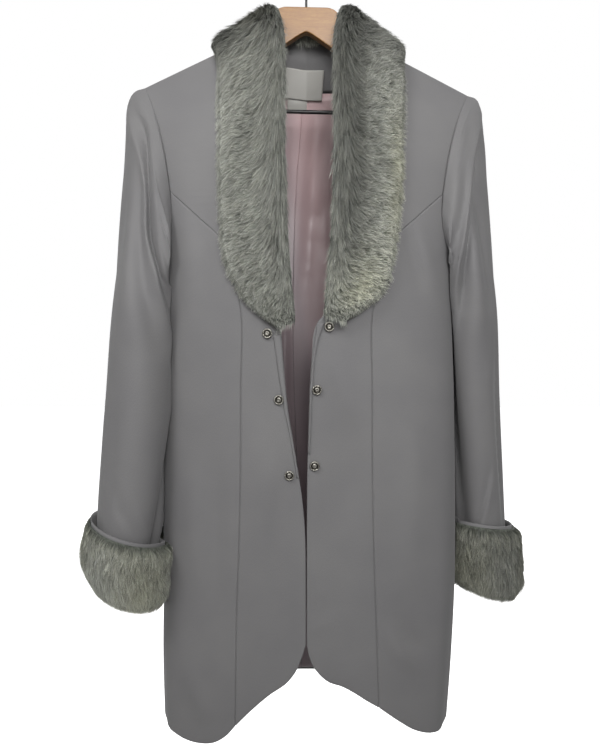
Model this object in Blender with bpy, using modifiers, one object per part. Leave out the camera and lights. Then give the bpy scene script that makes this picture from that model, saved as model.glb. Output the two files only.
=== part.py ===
"""Fur-trimmed coat hanging on a wooden hanger, as thin cloth walls, thick fur bodies and a plain hanger.

Metres, +Z up. The origin is where a rail touches the inside top of the hook. The coat faces -Y.
Side -1 is the wearer's right (negative X), side +1 the wearer's left.
"""

import math

import bmesh
import bpy
import numpy as np
from mathutils import Vector

MM = 0.001
RIGHT = -1
LEFT = 1
SIDES = {RIGHT: "right", LEFT: "left"}

# Cloth and seams
CLOTH = 1.5 * MM
LINING = 1.0 * MM
SEAM = 0.4 * MM
UNDER = 0.8 * MM
UNDER_SHOULDER = 3.0 * MM

# Shoulders: a roof line that falls on both sides from above the neck
ROOF_TOP = 64.2 * MM
ROOF_SLOPE = 0.478
ROOF_REACH = 270 * MM
ROOF_ROUND = 0.75
# The hanger leans: drop gained for each metre towards the wearer's left, fading out above the underarm
LEAN = 0.023
LEAN_FROM = 170 * MM
LEAN_TO = 380 * MM
SECTION_POWER = 2.8

# Body sections, drop being the distance below the origin
BODY_COLUMNS = ("drop", "right_half", "left_half", "front", "back")
BODY_ROWS = (
    (60, 262, 262, 76, 70),
    (170, 240, 240, 77, 72),
    (235, 214, 214, 78, 73),
    (300, 196, 196, 79, 74),
    (387, 189, 189, 80, 73),
    (560, 186, 194, 78, 68),
    (680, 187, 198, 77, 70),
    (800, 189, 200, 77, 74),
    (900, 194, 197, 78, 78),
    (1010, 193, 191, 78, 80),
)

# Folds of the body: centre turn in degrees from the front, first and last drop, half width, depth
FOLD_COLUMNS = ("side", "turn", "lean", "top", "bottom", "width", "depth")
FOLD_ROWS = (
    (RIGHT, 52, 6, 480, 1100, 9, 4.0),
    (RIGHT, 74, -8, 560, 1100, 9, -3.5),
    (LEFT, 47, 10, 520, 1100, 9, 4.5),
    (LEFT, 68, -6, 600, 1100, 8, -3.5),
    (LEFT, 120, 6, 520, 1100, 10, 5.0),
    (LEFT, 152, -4, 450, 1100, 9, -4.0),
    (RIGHT, 122, -6, 520, 1100, 10, 5.0),
    (RIGHT, 155, 5, 480, 1100, 9, -4.0),
)

# Outlines as (half width, drop) in mm
PRINCESS = ((168, 302), (150, 318), (128, 338), (106, 358), (90, 392),
            (80, 440), (80, 540), (82, 680), (88, 850))
PRINCESS_END = {RIGHT: (90, 970), LEFT: (92, 946)}
ARMHOLE_HIGH = ((208.4, 164.8), (195, 193), (184, 224), (174, 264), (168, 302))
ARMHOLE_LOW = ((168, 302), (167, 330), (172, 356), (183, 376))
ARMHOLE_BACK = ((208.4, 164.8), (200, 197), (191, 239), (184, 285), (180, 325), (182, 358), (186, 377))
UNDERARM = 387
BACK_NECK = ((0, 115), (30, 113.5), (60, 108.6), (85, 105.8))
ROLL_LOW = ((33, 440), (33, 330))
ROLL_HIGH = ((33, 330), (33, 250), (34, 180), (44, 139), (66, 113.5), (85, 105.8))
ROWS_LOW = 15
ROWS_HIGH = 10
ROWS_BACK = 11
ARM_COLUMNS = 9
FRONT_EDGE = {
    RIGHT: ((2.4, 862), (2.5, 800), (3.1, 752), (4.0, 715), (6.2, 680),
            (11.7, 634), (17, 600), (22, 570), (27, 520), (30, 480)),
    LEFT: ((1.0, 862), (0.9, 800), (0.8, 752), (0.8, 715), (1.0, 680),
           (1.2, 634), (2.0, 600), (3.0, 560), (6.0, 505), (12, 462)),
}
HEM_FRONT = {
    RIGHT: ((2.4, 862), (4.4, 872), (8, 885), (13.5, 897), (23, 910),
            (47, 928), (72, 951), (90, 970)),
    LEFT: ((1.0, 862), (3.4, 877), (8, 889), (15, 899), (29, 911),
           (44, 916), (60, 925), (76, 936), (92, 946)),
}
HEM_SIDE = {
    RIGHT: ((90, 970), (104, 986), (119, 995.5), (137, 999), (156, 998), (172, 993)),
    LEFT: ((92, 946), (120, 968), (138, 981), (158, 990), (174, 993)),
}
HEM_AT_SIDE = {RIGHT: 990, LEFT: 990}
HEM_BACK = 980

# Sleeve rings: centre and half sizes of an oval across each drop
SLEEVE_COLUMNS = ("drop", "x", "y", "wide", "deep")
SLEEVE_ROWS = {
    RIGHT: (
        (440, 203, -22, 44, 64),
        (560, 211, -34, 45, 58),
        (690, 221, -42, 44, 53),
        (796, 233, -44, 37, 46),
    ),
    LEFT: (
        (440, 210, 14, 42, 62),
        (560, 221, 24, 42, 58),
        (690, 235, 34, 41, 54),
        (812, 248, 38, 38, 47),
    ),
}
SLEEVE_HEAD = 14 * MM
SLEEVE_UPPER = 0.39
SLEEVE_PUFF = 4 * MM
SLEEVE_CLEAR = 5 * MM
SLEEVE_GAP = 0.6 * MM
UNDERARM_EASE = 4 * MM
FRONT_EASE = 7 * MM
OVERLAP = {RIGHT: 14 * MM, LEFT: 0.0}
# Sleeve folds: place round the ring (0 outer, 0.25 front) at the two ends, ends along it, half width, depth
SLEEVE_FOLD_COLUMNS = ("start", "end", "top", "bottom", "width", "depth")
SLEEVE_FOLD_ROWS = {
    RIGHT: (
        (0.10, 0.36, 0.05, 0.52, 0.045, -6.0),
        (0.06, 0.25, 0.10, 0.50, 0.05, 4.0),
        (0.20, 0.10, 0.48, 0.95, 0.06, -4.0),
        (0.62, 0.80, 0.15, 0.75, 0.06, -5.0),
    ),
    LEFT: (
        (0.07, 0.20, 0.04, 0.55, 0.045, -6.0),
        (0.13, 0.26, 0.08, 0.50, 0.05, 4.0),
        (0.16, 0.08, 0.45, 0.95, 0.06, -4.0),
        (0.62, 0.80, 0.15, 0.75, 0.06, -5.0),
    ),
}

# Cuffs: bands turned up round the sleeve ends
CUFF_FOOT = {RIGHT: 808 * MM, LEFT: 827 * MM}
CUFF_TALL = {RIGHT: 84 * MM, LEFT: 90 * MM}
CUFF_TILT = {RIGHT: 5 * MM, LEFT: 5 * MM}
CUFF_SLANT = {RIGHT: 13 * MM, LEFT: -11 * MM}
# Room that the body leaves for the cuff's fur, its band and the sleeve inside it
CUFF_CLEAR = 3 * MM
BAND_CLEAR = 8.5 * MM
WRIST_CLEAR = 11 * MM
WRIST = (664 * MM, 708 * MM)
CUFF_FLARE = 5 * MM
CUFF_STEPS = 28
CUFF_EASE = 1.0 * MM
CUFF_BAND = 1.2 * MM
CUFF_SHOWS = 3 * MM
# Fur section: share of the height, distance outside the band
CUFF_FUR = (
    (0.02, 0.5),
    (0.34, 0.5),
    (0.67, 0.5),
    (0.95, 0.5),
    (1.0, 5),
    (0.93, 11),
    (0.72, 14.5),
    (0.42, 16),
    (0.17, 15),
    (0.03, 11),
    (-0.03, 4),
)

# Shawl collar: inner and outer edge of each section, and the height of the fur
COLLAR_COLUMNS = ("in_x", "in_y", "in_drop", "out_x", "out_y", "out_drop", "fur")
COLLAR_ROWS = (
    (0, 29, 56, 0, 60, 190, 24),
    (26, 27, 58, 62, 54, 186, 24),
    (40, 16, 62, 104, 30, 164, 21),
    (42, -2, 65, 111, 4, 127, 18),
    (37, -20, 74, 112, -26, 150, 20),
    (30, -34, 110, 114, -42, 196, 23),
    (28, -48, 180, 116, -50, 252, 25),
    (27, -62, 265, 116, -60, 318, 26),
    (25, -70, 345, 107, -66, 386, 26),
    (21, -74, 410, 84, -74, 428, 25),
    (18, -76, 444, 57, -76, 453, 22),
    (17, -77, 459, 38, -77, 466, 16),
)
COLLAR_SHIFT = 6.5 * MM
COLLAR_DROP = {RIGHT: 2 * MM, LEFT: -6 * MM}
COLLAR_STEPS = 34
COLLAR_ACROSS = 9

# Facing strips rolled out on the fronts: drop and width
FACING_ROWS = {
    RIGHT: ((476, 9.5), (500, 8.0), (540, 6.0), (580, 3.6), (620, 2.6), (650, 2.2)),
    LEFT: ((462, 9.0), (480, 5.0), (500, 3.6), (540, 3.0), (580, 2.6), (620, 2.2)),
}

# Back neck, lining and labels
NECK_FACING = (64, 150)
NECK_FACING_HALF = 44 * MM
STAND_LEAN = 0.10
LINING_TOP = 151.2
LINING_END = 966
LINING_TURN = 103
LINING_GAP = 2.3 * MM
LABEL = (-28, 124, 52, 36)
SIZE_TAB = (-24, 158, 26, 15)
LABEL_WALL = 1.0 * MM
LABEL_OUT = (3.5, 7.0)
TAB_OUT = (4.9, 5.3)
LABEL_TILT = 4

# Buttons: centre X and drop in mm
BUTTON_RADIUS = 6 * MM
BUTTON_HEIGHT = 4 * MM
BUTTONS = {
    RIGHT: ((-47, 474), (-33.5, 554), (-21, 647)),
    LEFT: ((27, 466), (12.5, 542), (9.8, 635)),
}

# Hanger
WOOD_THICK = 12 * MM
WOOD_EDGE = 1.2 * MM
WOOD_TOP = ((0, 62), (28, 62), (36, 64.5), (54, 83), (72, 105.3),
            (88, 116.5), (140, 140.6), (180, 160.9), (191, 168.1), (195, 174.5))
WOOD_BELOW = ((193, 188), (186, 192), (140, 173), (85, 145), (40, 116.5), (8, 95.5), (0, 91.6))
BAR_RADIUS = 2.5 * MM
BAR_DROP = 189.5 * MM
BAR_HALF = 172 * MM
HOOK_WIRE = 1.5 * MM
HOOK_RADIUS = 17 * MM

COLOURS = {
    "cloth": ((0.33, 0.32, 0.34, 1.0), 0.75, 0.0),
    "fur": ((0.30, 0.31, 0.26, 1.0), 0.9, 0.0),
    "satin": ((0.45, 0.30, 0.31, 1.0), 0.35, 0.0),
    "label": ((0.86, 0.85, 0.83, 1.0), 0.45, 0.0),
    "metal": ((0.60, 0.58, 0.53, 1.0), 0.3, 1.0),
    "wood": ((0.62, 0.43, 0.25, 1.0), 0.45, 0.0),
    "wire": ((0.02, 0.02, 0.02, 1.0), 0.35, 0.0),
}


def table(columns, rows):
    """Rows of a table as one array for each named column."""
    return dict(zip(columns, np.array(rows, float).T))


def cubic(keys, values, at):
    """Smooth curve through a table: cubic pieces whose slopes are finite differences of the rows."""
    keys = np.asarray(keys, float)
    values = np.asarray(values, float)
    at = np.clip(at, keys[0], keys[-1])
    slopes = np.gradient(values, keys)
    i = np.clip(np.searchsorted(keys, at) - 1, 0, len(keys) - 2)
    step = keys[i + 1] - keys[i]
    t = (at - keys[i]) / step
    first = (2 * t**3 - 3 * t**2 + 1) * values[i] + (t**3 - 2 * t**2 + t) * step * slopes[i]
    second = (3 * t**2 - 2 * t**3) * values[i + 1] + (t**3 - t**2) * step * slopes[i + 1]
    return first + second


def smooth_path(points, at):
    """Points along a smooth path through the given points, at shares of its length."""
    points = np.array(points, float)
    points = points[np.concatenate([[True], np.any(np.diff(points, axis=0) != 0, axis=1)])]
    run = np.concatenate([[0], np.cumsum(np.linalg.norm(np.diff(points, axis=0), axis=1))])
    return np.stack([cubic(run / run[-1], column, at) for column in points.T], axis=-1)


def joined_path(parts, at):
    """Like smooth_path for parts that meet at corners, each part taking a share by its length."""
    lengths = [np.linalg.norm(np.diff(np.array(part, float), axis=0), axis=1).sum() for part in parts]
    ends = np.concatenate([[0], np.cumsum(lengths)]) / sum(lengths)
    out = np.zeros((len(at), 2))
    for part, low, high in zip(parts, ends[:-1], ends[1:]):
        here = (at >= low) & (at <= high)
        out[here] = smooth_path(part, (at[here] - low) / (high - low))
    return out


BODY = table(BODY_COLUMNS, BODY_ROWS)
FOLDS = table(FOLD_COLUMNS, FOLD_ROWS)


def ridge(x):
    """Drop of the shoulder line at a distance from the middle."""
    return ROOF_TOP + ROOF_SLOPE * np.abs(x)


def halves(side, drop):
    """Half width, front depth and back depth of the body at a drop, in metres."""
    name = "right_half" if side == RIGHT else "left_half"
    at = drop / MM
    half = cubic(BODY["drop"], BODY[name], at) * MM
    front = cubic(BODY["drop"], BODY["front"], at) * MM
    back = cubic(BODY["drop"], BODY["back"], at) * MM
    return half, front, back


def roof(fall):
    """Share of the full depth that the cloth reaches this far below the shoulder line, round at the top."""
    t = np.clip(fall / ROOF_REACH, 0, 1)
    return (1 - (1 - t) ** 2) ** ROOF_ROUND


def lean(x, drop):
    """Drop that the hanger's lean adds at a signed X: full at the shoulders, gone at the underarm."""
    return LEAN * x * np.clip((LEAN_TO - drop) / (LEAN_TO - LEAN_FROM), 0, 1)


def fold_push(side, turn, drop):
    """Outward push of the body's folds: soft ridges and troughs that grow towards the hem."""
    push = np.zeros(np.broadcast(turn, drop).shape)
    for i in range(len(FOLDS["side"])):
        if FOLDS["side"][i] != side:
            continue
        run = np.clip((drop / MM - FOLDS["top"][i]) / (FOLDS["bottom"][i] - FOLDS["top"][i]), 0, 1)
        centre = FOLDS["turn"][i] + FOLDS["lean"][i] * run
        across = (np.degrees(turn) - centre) / FOLDS["width"][i]
        push = push + FOLDS["depth"][i] * MM * run**1.2 * np.exp(-(across**2))
    return push


def shell(side, turn, drop):
    """Point of the shell: a flattened round section, turn 0 at the front, half pi at the side, pi behind.

    The depth fades to nothing at the shoulder line, and the folds push along the turn's direction.
    """
    half, front, back = halves(side, drop)
    c = np.cos(turn)
    s = np.sin(turn)
    reach = (np.abs(s) ** SECTION_POWER + np.abs(c) ** SECTION_POWER) ** (-1 / SECTION_POWER)
    x = half * reach * s
    depth = np.where(c > 0, front, back) * roof(drop - ridge(x))
    push = fold_push(side, turn, drop)
    x = x + push * s
    y = -depth * reach * c - push * c * np.minimum(1, depth / (20 * MM))
    return np.stack([side * x, y, -drop - lean(side * x, drop)], axis=-1)


def body(side, turn, drop, out=0.0):
    """Point of the shell, moved out along its normal, or in for a negative distance."""
    point = shell(side, turn, drop)
    if out == 0.0:
        return point
    step = 1e-4
    around = shell(side, turn + step, drop) - shell(side, turn - step, drop)
    down = shell(side, turn, drop + step) - shell(side, turn, drop - step)
    normal = np.cross(around, down) * -side
    return point + normal * (out / np.linalg.norm(normal, axis=-1))[..., None]


def turn_at(side, x, drop, back=False):
    """Turn at which the shell has this half width."""
    half = halves(side, drop)[0]
    q = np.clip(x / half, 0, 1)
    turn = np.arctan2(q, (1 - q**SECTION_POWER) ** (1 / SECTION_POWER))
    return np.pi - turn if back else turn


def outline(side, path, back=False):
    """A path of (half width, drop) in mm as turns and drops."""
    x = path[:, 0] * MM
    drop = path[:, 1] * MM
    return np.stack([turn_at(side, x, drop, back), drop], axis=-1)


def patch(inner, outer, bottom, top):
    """Coons patch between four outlines of turns and drops, grid rows from bottom to top."""
    u = np.linspace(0, 1, len(bottom))[None, :, None]
    v = np.linspace(0, 1, len(inner))[:, None, None]
    across = (1 - u) * inner[:, None] + u * outer[:, None]
    up = (1 - v) * bottom[None] + v * top[None]
    corners = (1 - u) * (1 - v) * bottom[0] + u * (1 - v) * bottom[-1]
    corners = corners + (1 - u) * v * top[0] + u * v * top[-1]
    return across + up - corners


def shares(count, power=1.0):
    """Shares from 0 to 1, closer together towards 1 for a power above 1."""
    return 1 - (1 - np.linspace(0, 1, count)) ** power


def inset(grid, left=0.0, right=0.0, low=0.0, high=0.0):
    """A patch drawn in from its edges by these shares of its first and last steps."""
    grid = grid.copy()
    grid[:, 0] += left * (grid[:, 1] - grid[:, 0])
    grid[:, -1] += right * (grid[:, -2] - grid[:, -1])
    grid[0] += low * (grid[1] - grid[0])
    grid[-1] += high * (grid[-2] - grid[-1])
    return grid


def side_path(side, at):
    """Side seam from the hem up to the underarm."""
    drop = HEM_AT_SIDE[side] + (UNDERARM - HEM_AT_SIDE[side]) * at
    return np.stack([np.full(len(at), np.pi / 2), drop * MM], axis=-1)


def arm_low(side, at, back=False):
    """Lower armhole from the princess seam, or the shoulder at the back, to the underarm."""
    points = ARMHOLE_BACK if back else ARMHOLE_LOW
    share = 0.88 if back else 0.82
    first = at <= share
    out = np.zeros((len(at), 2))
    out[first] = outline(side, smooth_path(points, at[first] / share), back)
    last = outline(side, np.array([points[-1]], float), back)[0]
    end = np.array([np.pi / 2, UNDERARM * MM])
    t = ((at[~first] - share) / (1 - share))[:, None]
    out[~first] = last + (end - last) * np.stack([t[:, 0], t[:, 0] * (2 - t[:, 0])], axis=-1)
    return out


def front_rows():
    """Shares of the rows below and above the level where the princess seam meets the armhole."""
    return shares(ROWS_LOW, 1.0), shares(ROWS_HIGH, 1.6)[1:]


def stacked(low_path, high_path):
    """Outline whose rows run up one path and then up the next."""
    low, high = front_rows()
    return np.concatenate([smooth_path(low_path, low), smooth_path(high_path, high)])


def princess_rows(side):
    """Princess seam from the hem up to the armhole."""
    return outline(side, smooth_path((PRINCESS_END[side],) + PRINCESS[::-1], front_rows()[0]))


def armhole_high(side):
    """Front armhole from the princess seam up to the shoulder."""
    return outline(side, smooth_path(ARMHOLE_HIGH[::-1], front_rows()[1]))


def front_grid(side, columns=8):
    """Centre front: front edge and roll line, princess seam and armhole, shoulder seam, hem."""
    inner = outline(side, stacked(FRONT_EDGE[side] + ROLL_LOW, ROLL_HIGH))
    outer = np.concatenate([princess_rows(side), armhole_high(side)])
    across = np.linspace(0, 1, columns)
    bottom = outline(side, smooth_path(HEM_FRONT[side], across))
    top = outline(side, smooth_path((ROLL_HIGH[-1], ARMHOLE_HIGH[0]), across))
    return patch(inner, outer, bottom, top)


def side_grid(side):
    """Side front: princess seam, side seam, lower armhole, hem."""
    across = np.linspace(0, 1, ARM_COLUMNS)
    hem = outline(side, smooth_path(HEM_SIDE[side], np.clip(across / 0.75, 0, 1)))
    tail = np.clip((across - 0.75) / 0.25, 0, 1)
    hem[:, 0] += (np.pi / 2 - hem[:, 0]) * tail
    hem[:, 1] += (HEM_AT_SIDE[side] * MM - hem[:, 1]) * tail
    return patch(princess_rows(side), side_path(side, front_rows()[0]), hem, arm_low(side, across))


def back_arm_rows(side):
    """Back armhole from the underarm up to the shoulder."""
    return arm_low(side, 1 - shares(ROWS_BACK, 1.4)[1:], True)


def back_half(side, columns=10):
    """Half of the back: centre line, side seam and armhole, neck and shoulder, hem."""
    across = np.linspace(0, 1, columns)
    low = HEM_BACK + (UNDERARM - HEM_BACK) * front_rows()[0]
    high = UNDERARM + (BACK_NECK[0][1] - UNDERARM) * shares(ROWS_BACK, 1.4)[1:]
    drop = np.concatenate([low, high]) * MM
    inner = np.stack([np.full(len(drop), np.pi), drop], axis=-1)
    outer = np.concatenate([side_path(side, front_rows()[0]), back_arm_rows(side)])
    hem_drop = HEM_BACK + (HEM_AT_SIDE[side] - HEM_BACK) * across**2
    bottom = np.stack([np.pi - np.pi / 2 * across, hem_drop * MM], axis=-1)
    top = outline(side, joined_path((BACK_NECK, (BACK_NECK[-1], ARMHOLE_BACK[0])), across), True)
    return patch(inner, outer, bottom, top)


def on_body(side, grid, out=0.0):
    return body(side, grid[..., 0], grid[..., 1], out)


def armhole_loop(side):
    """The armhole from the shoulder down the front and up the back, and each point's share of it."""
    high = np.concatenate([armhole_high(side)[::-1], princess_rows(side)[-1:]])
    low = arm_low(side, np.linspace(0, 1, ARM_COLUMNS))[1:]
    turns = np.concatenate([high, low, back_arm_rows(side)[:-1]])
    points = body(side, turns[:, 0], turns[:, 1])
    run = np.concatenate([[0], np.cumsum(np.linalg.norm(np.diff(points, axis=0), axis=1))])
    under = len(high) + len(low) - 1
    end = run[-1] + np.linalg.norm(points[-1] - points[0])
    share = np.where(run <= run[under], run / run[under], 1 + (run - run[under]) / (end - run[under])) / 2
    return points, share


def clear_of_body(side, points, gap):
    """Points inside the body's section, widened by a gap, pushed straight out to its edge."""
    drop = -points[..., 2]
    half, front, back = halves(side, drop)
    x = np.abs(points[..., 0])
    y = points[..., 1]
    push = fold_push(side, np.arctan2(x / half, -y / front), drop)
    depth = np.where(y < 0, front, back) + gap + np.maximum(push, 0)
    wide = half + gap + np.maximum(push, 0)
    level = (x / wide) ** SECTION_POWER + (np.abs(y) / depth) ** SECTION_POWER
    grow = np.where((level < 1) & (drop > UNDERARM * MM), level ** (-1 / SECTION_POWER), 1.0)
    out = points.copy()
    out[..., 0] *= grow
    out[..., 1] *= grow
    return out


def sleeve_clear(side, points):
    """Sleeve points pushed clear of the body, by more where the cuff needs room."""
    low = np.clip((-points[..., 2] - WRIST[0]) / (WRIST[1] - WRIST[0]), 0, 1)
    return clear_of_body(side, points, SLEEVE_CLEAR + (WRIST_CLEAR - SLEEVE_CLEAR) * low)


def sleeve_oval(side, drop, place, wider=0.0):
    """Oval of the sleeve at a drop, place running once round from the outer side by the front."""
    rows = table(SLEEVE_COLUMNS, SLEEVE_ROWS[side])
    x, y, wide, deep = (cubic(rows["drop"], rows[name], drop / MM) * MM for name in SLEEVE_COLUMNS[1:])
    angle = 2 * np.pi * place
    px = x + (wide + wider) * np.cos(angle)
    py = y - (deep + wider) * np.sin(angle)
    return np.stack([side * px, py, -drop + 0 * px], axis=-1)


def sleeve_grid(side, rows=17):
    """Sleeve: rings from the armhole over a rounded head to ovals down the arm, with its main folds."""
    start, place = armhole_loop(side)
    count = len(place)
    start[:, 0] += side * SLEEVE_GAP
    out = start - start.mean(axis=0)
    out[:, 0] = 0
    out /= np.linalg.norm(out, axis=1)[:, None]
    top = ((1 + np.cos(2 * np.pi * place)) / 2)[:, None]
    low = 1 - top
    head = start + out * (SLEEVE_PUFF * np.array([1, 1, 0]) + top * SLEEVE_PUFF * np.array([0, 0, 1]))
    head = head + top * np.array([side * SLEEVE_HEAD, 0, -7 * MM])
    head = head + low * np.array([side * UNDERARM_EASE, 0, -16 * MM])
    head[:, 1] += FRONT_EASE * np.where(out[:, 1] < 0, out[:, 1], 0) * low[:, 0] * 2
    lap = np.exp(-(((place - 0.38) / 0.09) ** 2))
    head += OVERLAP[side] * lap[:, None] * np.array([-side * 0.7, -0.75, -0.5])
    head = clear_of_body(side, head, SLEEVE_CLEAR)
    rings = [start, head]
    for row in SLEEVE_ROWS[side]:
        rings.append(sleeve_clear(side, sleeve_oval(side, row[0] * MM, place)))
    rings.insert(2, rings[1] + (rings[2] - rings[1]) * SLEEVE_UPPER)
    rings = np.array(rings)
    knots = np.array([0, 0.06, 0.20, 0.42, 0.60, 0.80, 1.0])
    at = np.concatenate([[0, 0.012, 0.03, 0.055], np.linspace(0.09, 1, rows - 4)])
    grid = np.zeros((len(at), count, 3))
    for j in range(count):
        for axis in range(3):
            grid[:, j, axis] = cubic(knots, rings[:, j, axis], at)
    core = grid.mean(axis=1, keepdims=True)
    away = grid - core
    away[..., 2] = 0
    away /= np.maximum(np.linalg.norm(away, axis=-1), 1e-6)[..., None]
    folds = table(SLEEVE_FOLD_COLUMNS, SLEEVE_FOLD_ROWS[side])
    for i in range(len(folds["start"])):
        run = (at - folds["top"][i]) / (folds["bottom"][i] - folds["top"][i])
        centre = folds["start"][i] + (folds["end"][i] - folds["start"][i]) * run
        fade = np.where((run > 0) & (run < 1), np.sin(np.pi * np.clip(run, 0, 1)) ** 0.7, 0)
        off = (place[None, :] - centre[:, None] + 0.5) % 1 - 0.5
        push = folds["depth"][i] * MM * fade[:, None] * np.exp(-((off / folds["width"][i]) ** 2))
        grid += away * push[..., None]
    return sleeve_clear(side, grid)


def wall_object(name, grid, thick, kind, outward, ring=False, core=np.zeros(3)):
    """A grid of points as a cloth wall round a core: an open surface thickened inwards by Solidify."""
    rows, columns = grid.shape[:2]
    index = np.arange(rows * columns).reshape(rows, columns)
    if ring:
        index = np.concatenate([index, index[:, :1]], axis=1)
    corners = (index[:-1, :-1], index[:-1, 1:], index[1:, 1:], index[1:, :-1])
    quads = np.stack(corners, axis=-1).reshape(-1, 4)
    flat = grid.reshape(-1, 3)
    a, b, c, d = (flat[quads[:, i]] for i in range(4))
    normal = np.cross(c - a, d - b)
    if (normal * outward((a + c) / 2 - core)).sum() < 0:
        quads = quads[:, ::-1]
    obj = add_mesh(name, flat, quads.tolist(), kind)
    solid = obj.modifiers.new("wall", "SOLIDIFY")
    solid.thickness = thick
    solid.offset = -1
    solid.use_rim = True
    return obj


def add_mesh(name, points, faces, kind):
    mesh = bpy.data.meshes.new(name)
    mesh.from_pydata([tuple(p) for p in points], [], faces)
    mesh.update()
    obj = bpy.data.objects.new(name, mesh)
    return add_object(obj, kind)


def add_object(obj, kind):
    """Object linked to the part's collection with the material of its kind."""
    collection.objects.link(obj)
    material = bpy.data.materials.get(kind)
    if material is None:
        material = bpy.data.materials.new(kind)
        material.use_nodes = True
        shader = material.node_tree.nodes["Principled BSDF"]
        colour, rough, metal = COLOURS[kind]
        shader.inputs["Base Color"].default_value = colour
        shader.inputs["Roughness"].default_value = rough
        shader.inputs["Metallic"].default_value = metal
        material.diffuse_color = colour
    obj.data.materials.append(material)
    return obj


def from_axis(points):
    """Direction away from the vertical through the origin."""
    out = points.copy()
    out[:, 2] = 0
    return out


def to_front(points):
    return np.array([0.0, -1.0, 0.0]) + 0 * points


def to_back(points):
    return np.array([0.0, 1.0, 0.0]) + 0 * points


def loops_object(name, loops, kind, closed):
    """A body from closed section loops: joined round when closed, else capped at both ends."""
    steps, count = loops.shape[:2]
    index = np.arange(steps * count).reshape(steps, count)
    ahead = np.roll(index, -1, axis=0) if closed else index[1:]
    here = index if closed else index[:-1]
    corners = (here, np.roll(here, -1, axis=1), np.roll(ahead, -1, axis=1), ahead)
    faces = np.stack(corners, axis=-1).reshape(-1, 4).tolist()
    if not closed:
        faces.append(index[0, ::-1].tolist())
        faces.append(index[-1].tolist())
    obj = add_mesh(name, loops.reshape(-1, 3), faces, kind)
    shape = bmesh.new()
    shape.from_mesh(obj.data)
    bmesh.ops.recalc_face_normals(shape, faces=shape.faces)
    if shape.calc_volume(signed=True) < 0:
        bmesh.ops.reverse_faces(shape, faces=shape.faces)
    shape.to_mesh(obj.data)
    shape.free()
    return obj


def cuff_point(side, share, gap, count):
    """Ring round the sleeve end at a share of the cuff's height, a gap outside the flared band."""
    place = np.arange(count) / count
    tall = CUFF_TALL[side] + CUFF_TILT[side] * np.cos(2 * np.pi * place)
    drop = CUFF_FOOT[side] - CUFF_SLANT[side] * np.cos(2 * np.pi * place) - tall * share
    return sleeve_oval(side, drop, place, gap + CUFF_EASE + CUFF_FLARE * max(share, 0) ** 1.5)


def build_cuff(side):
    """Cloth band and fur of a turned-up cuff."""
    spread = 1 + CUFF_SHOWS / CUFF_TALL[side]
    band = np.array([cuff_point(side, s, CUFF_BAND, CUFF_STEPS) for s in np.linspace(0.04, spread, 4)])
    band = clear_of_body(side, band, BAND_CLEAR)
    core = band.mean(axis=(0, 1))
    wall_object("cuff_lining_" + SIDES[side], band, CUFF_BAND, "cloth", from_axis, True, core)
    section = np.array([cuff_point(side, s, CUFF_BAND + gap * MM, CUFF_STEPS) for s, gap in CUFF_FUR])
    room = [BAND_CLEAR - 3.7 * MM if gap < 1 else CUFF_CLEAR for _, gap in CUFF_FUR]
    loops = np.swapaxes(clear_of_body(side, section, np.array(room)[:, None]), 0, 1)
    loops_object("cuff_" + SIDES[side], loops, "fur", True)


def inside_coat(points, gap):
    """Whether points lie within the shell widened by a gap."""
    x, y, z = np.moveaxis(points, -1, 0)
    drop = -z - lean(x, -z)
    side_half = np.where(x < 0, halves(RIGHT, drop)[0], halves(LEFT, drop)[0])
    _, front, back = halves(LEFT, drop)
    fall = drop - ridge(x) + gap
    flat = (1 - np.clip(np.abs(x) / side_half, 0, 0.999) ** SECTION_POWER) ** (1 / SECTION_POWER)
    depth = np.where(y < 0, front, back) * roof(fall) * flat + gap
    return (fall > 0) & (np.abs(y) < depth)


def build_collar(side):
    """Half of the shawl collar: sections from the centre back round the neck and down the front edge."""
    rows = table(COLLAR_COLUMNS, COLLAR_ROWS)
    run = np.linspace(0, 1, len(COLLAR_ROWS))
    at = np.linspace(0, 1, COLLAR_STEPS)
    value = {name: cubic(run, rows[name], at) * MM for name in COLLAR_COLUMNS}
    low = COLLAR_DROP[side] * np.clip((at - 0.5) * 3, 0, 1)
    shift = COLLAR_SHIFT * np.clip(at * 5, 0, 1)
    start = SEAM / 2 * np.clip(1 - at * 8, 0, 1)
    in_x = side * (value["in_x"] + start) + shift * 0.5
    out_x = side * (value["out_x"] + start) + shift
    inner = np.stack([in_x, value["in_y"], -value["in_drop"] - low], axis=-1)
    outer = np.stack([out_x, value["out_y"], -value["out_drop"] - low], axis=-1)
    along = np.gradient((inner + outer) / 2, axis=0)
    along[0] = (side, 0, 0)
    normal = np.cross(along, outer - inner) * side
    normal /= np.linalg.norm(normal, axis=1)[:, None]
    s = np.linspace(0, 1, COLLAR_ACROSS)[None, :, None]
    under = inner[:, None] + (outer - inner)[:, None] * s
    lift = np.broadcast_to(normal[:, None], under.shape)
    gap = UNDER + UNDER_SHOULDER * np.exp(-(((at - 0.28) / 0.1) ** 2))[:, None]
    for _ in range(260):
        caught = inside_coat(under, gap)
        under = under + lift * (0.25 * MM * caught)[..., None]
    round_top = (1 - np.abs(2 * s - 1) ** 2.6) ** (1 / 2.6)
    top = under + lift * (4 * MM + (value["fur"][:, None, None] - 4 * MM) * round_top)
    loops = np.concatenate([under, top[:, ::-1]], axis=1)
    loops_object("collar_" + SIDES[side], loops, "fur", False)


def front_place(side, x, drop, out=0.0):
    """Point of the front at signed X in metres, moved out from the cloth."""
    turn = turn_at(side, np.abs(x), drop)
    return body(side, turn, drop, out)


def edge_half(side, drop_mm):
    """Half width of the front edge at a drop."""
    path = np.array((FRONT_EDGE[side] + ROLL_LOW)[::-1], float)
    return np.interp(drop_mm, path[:, 1], path[:, 0]) * MM


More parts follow.
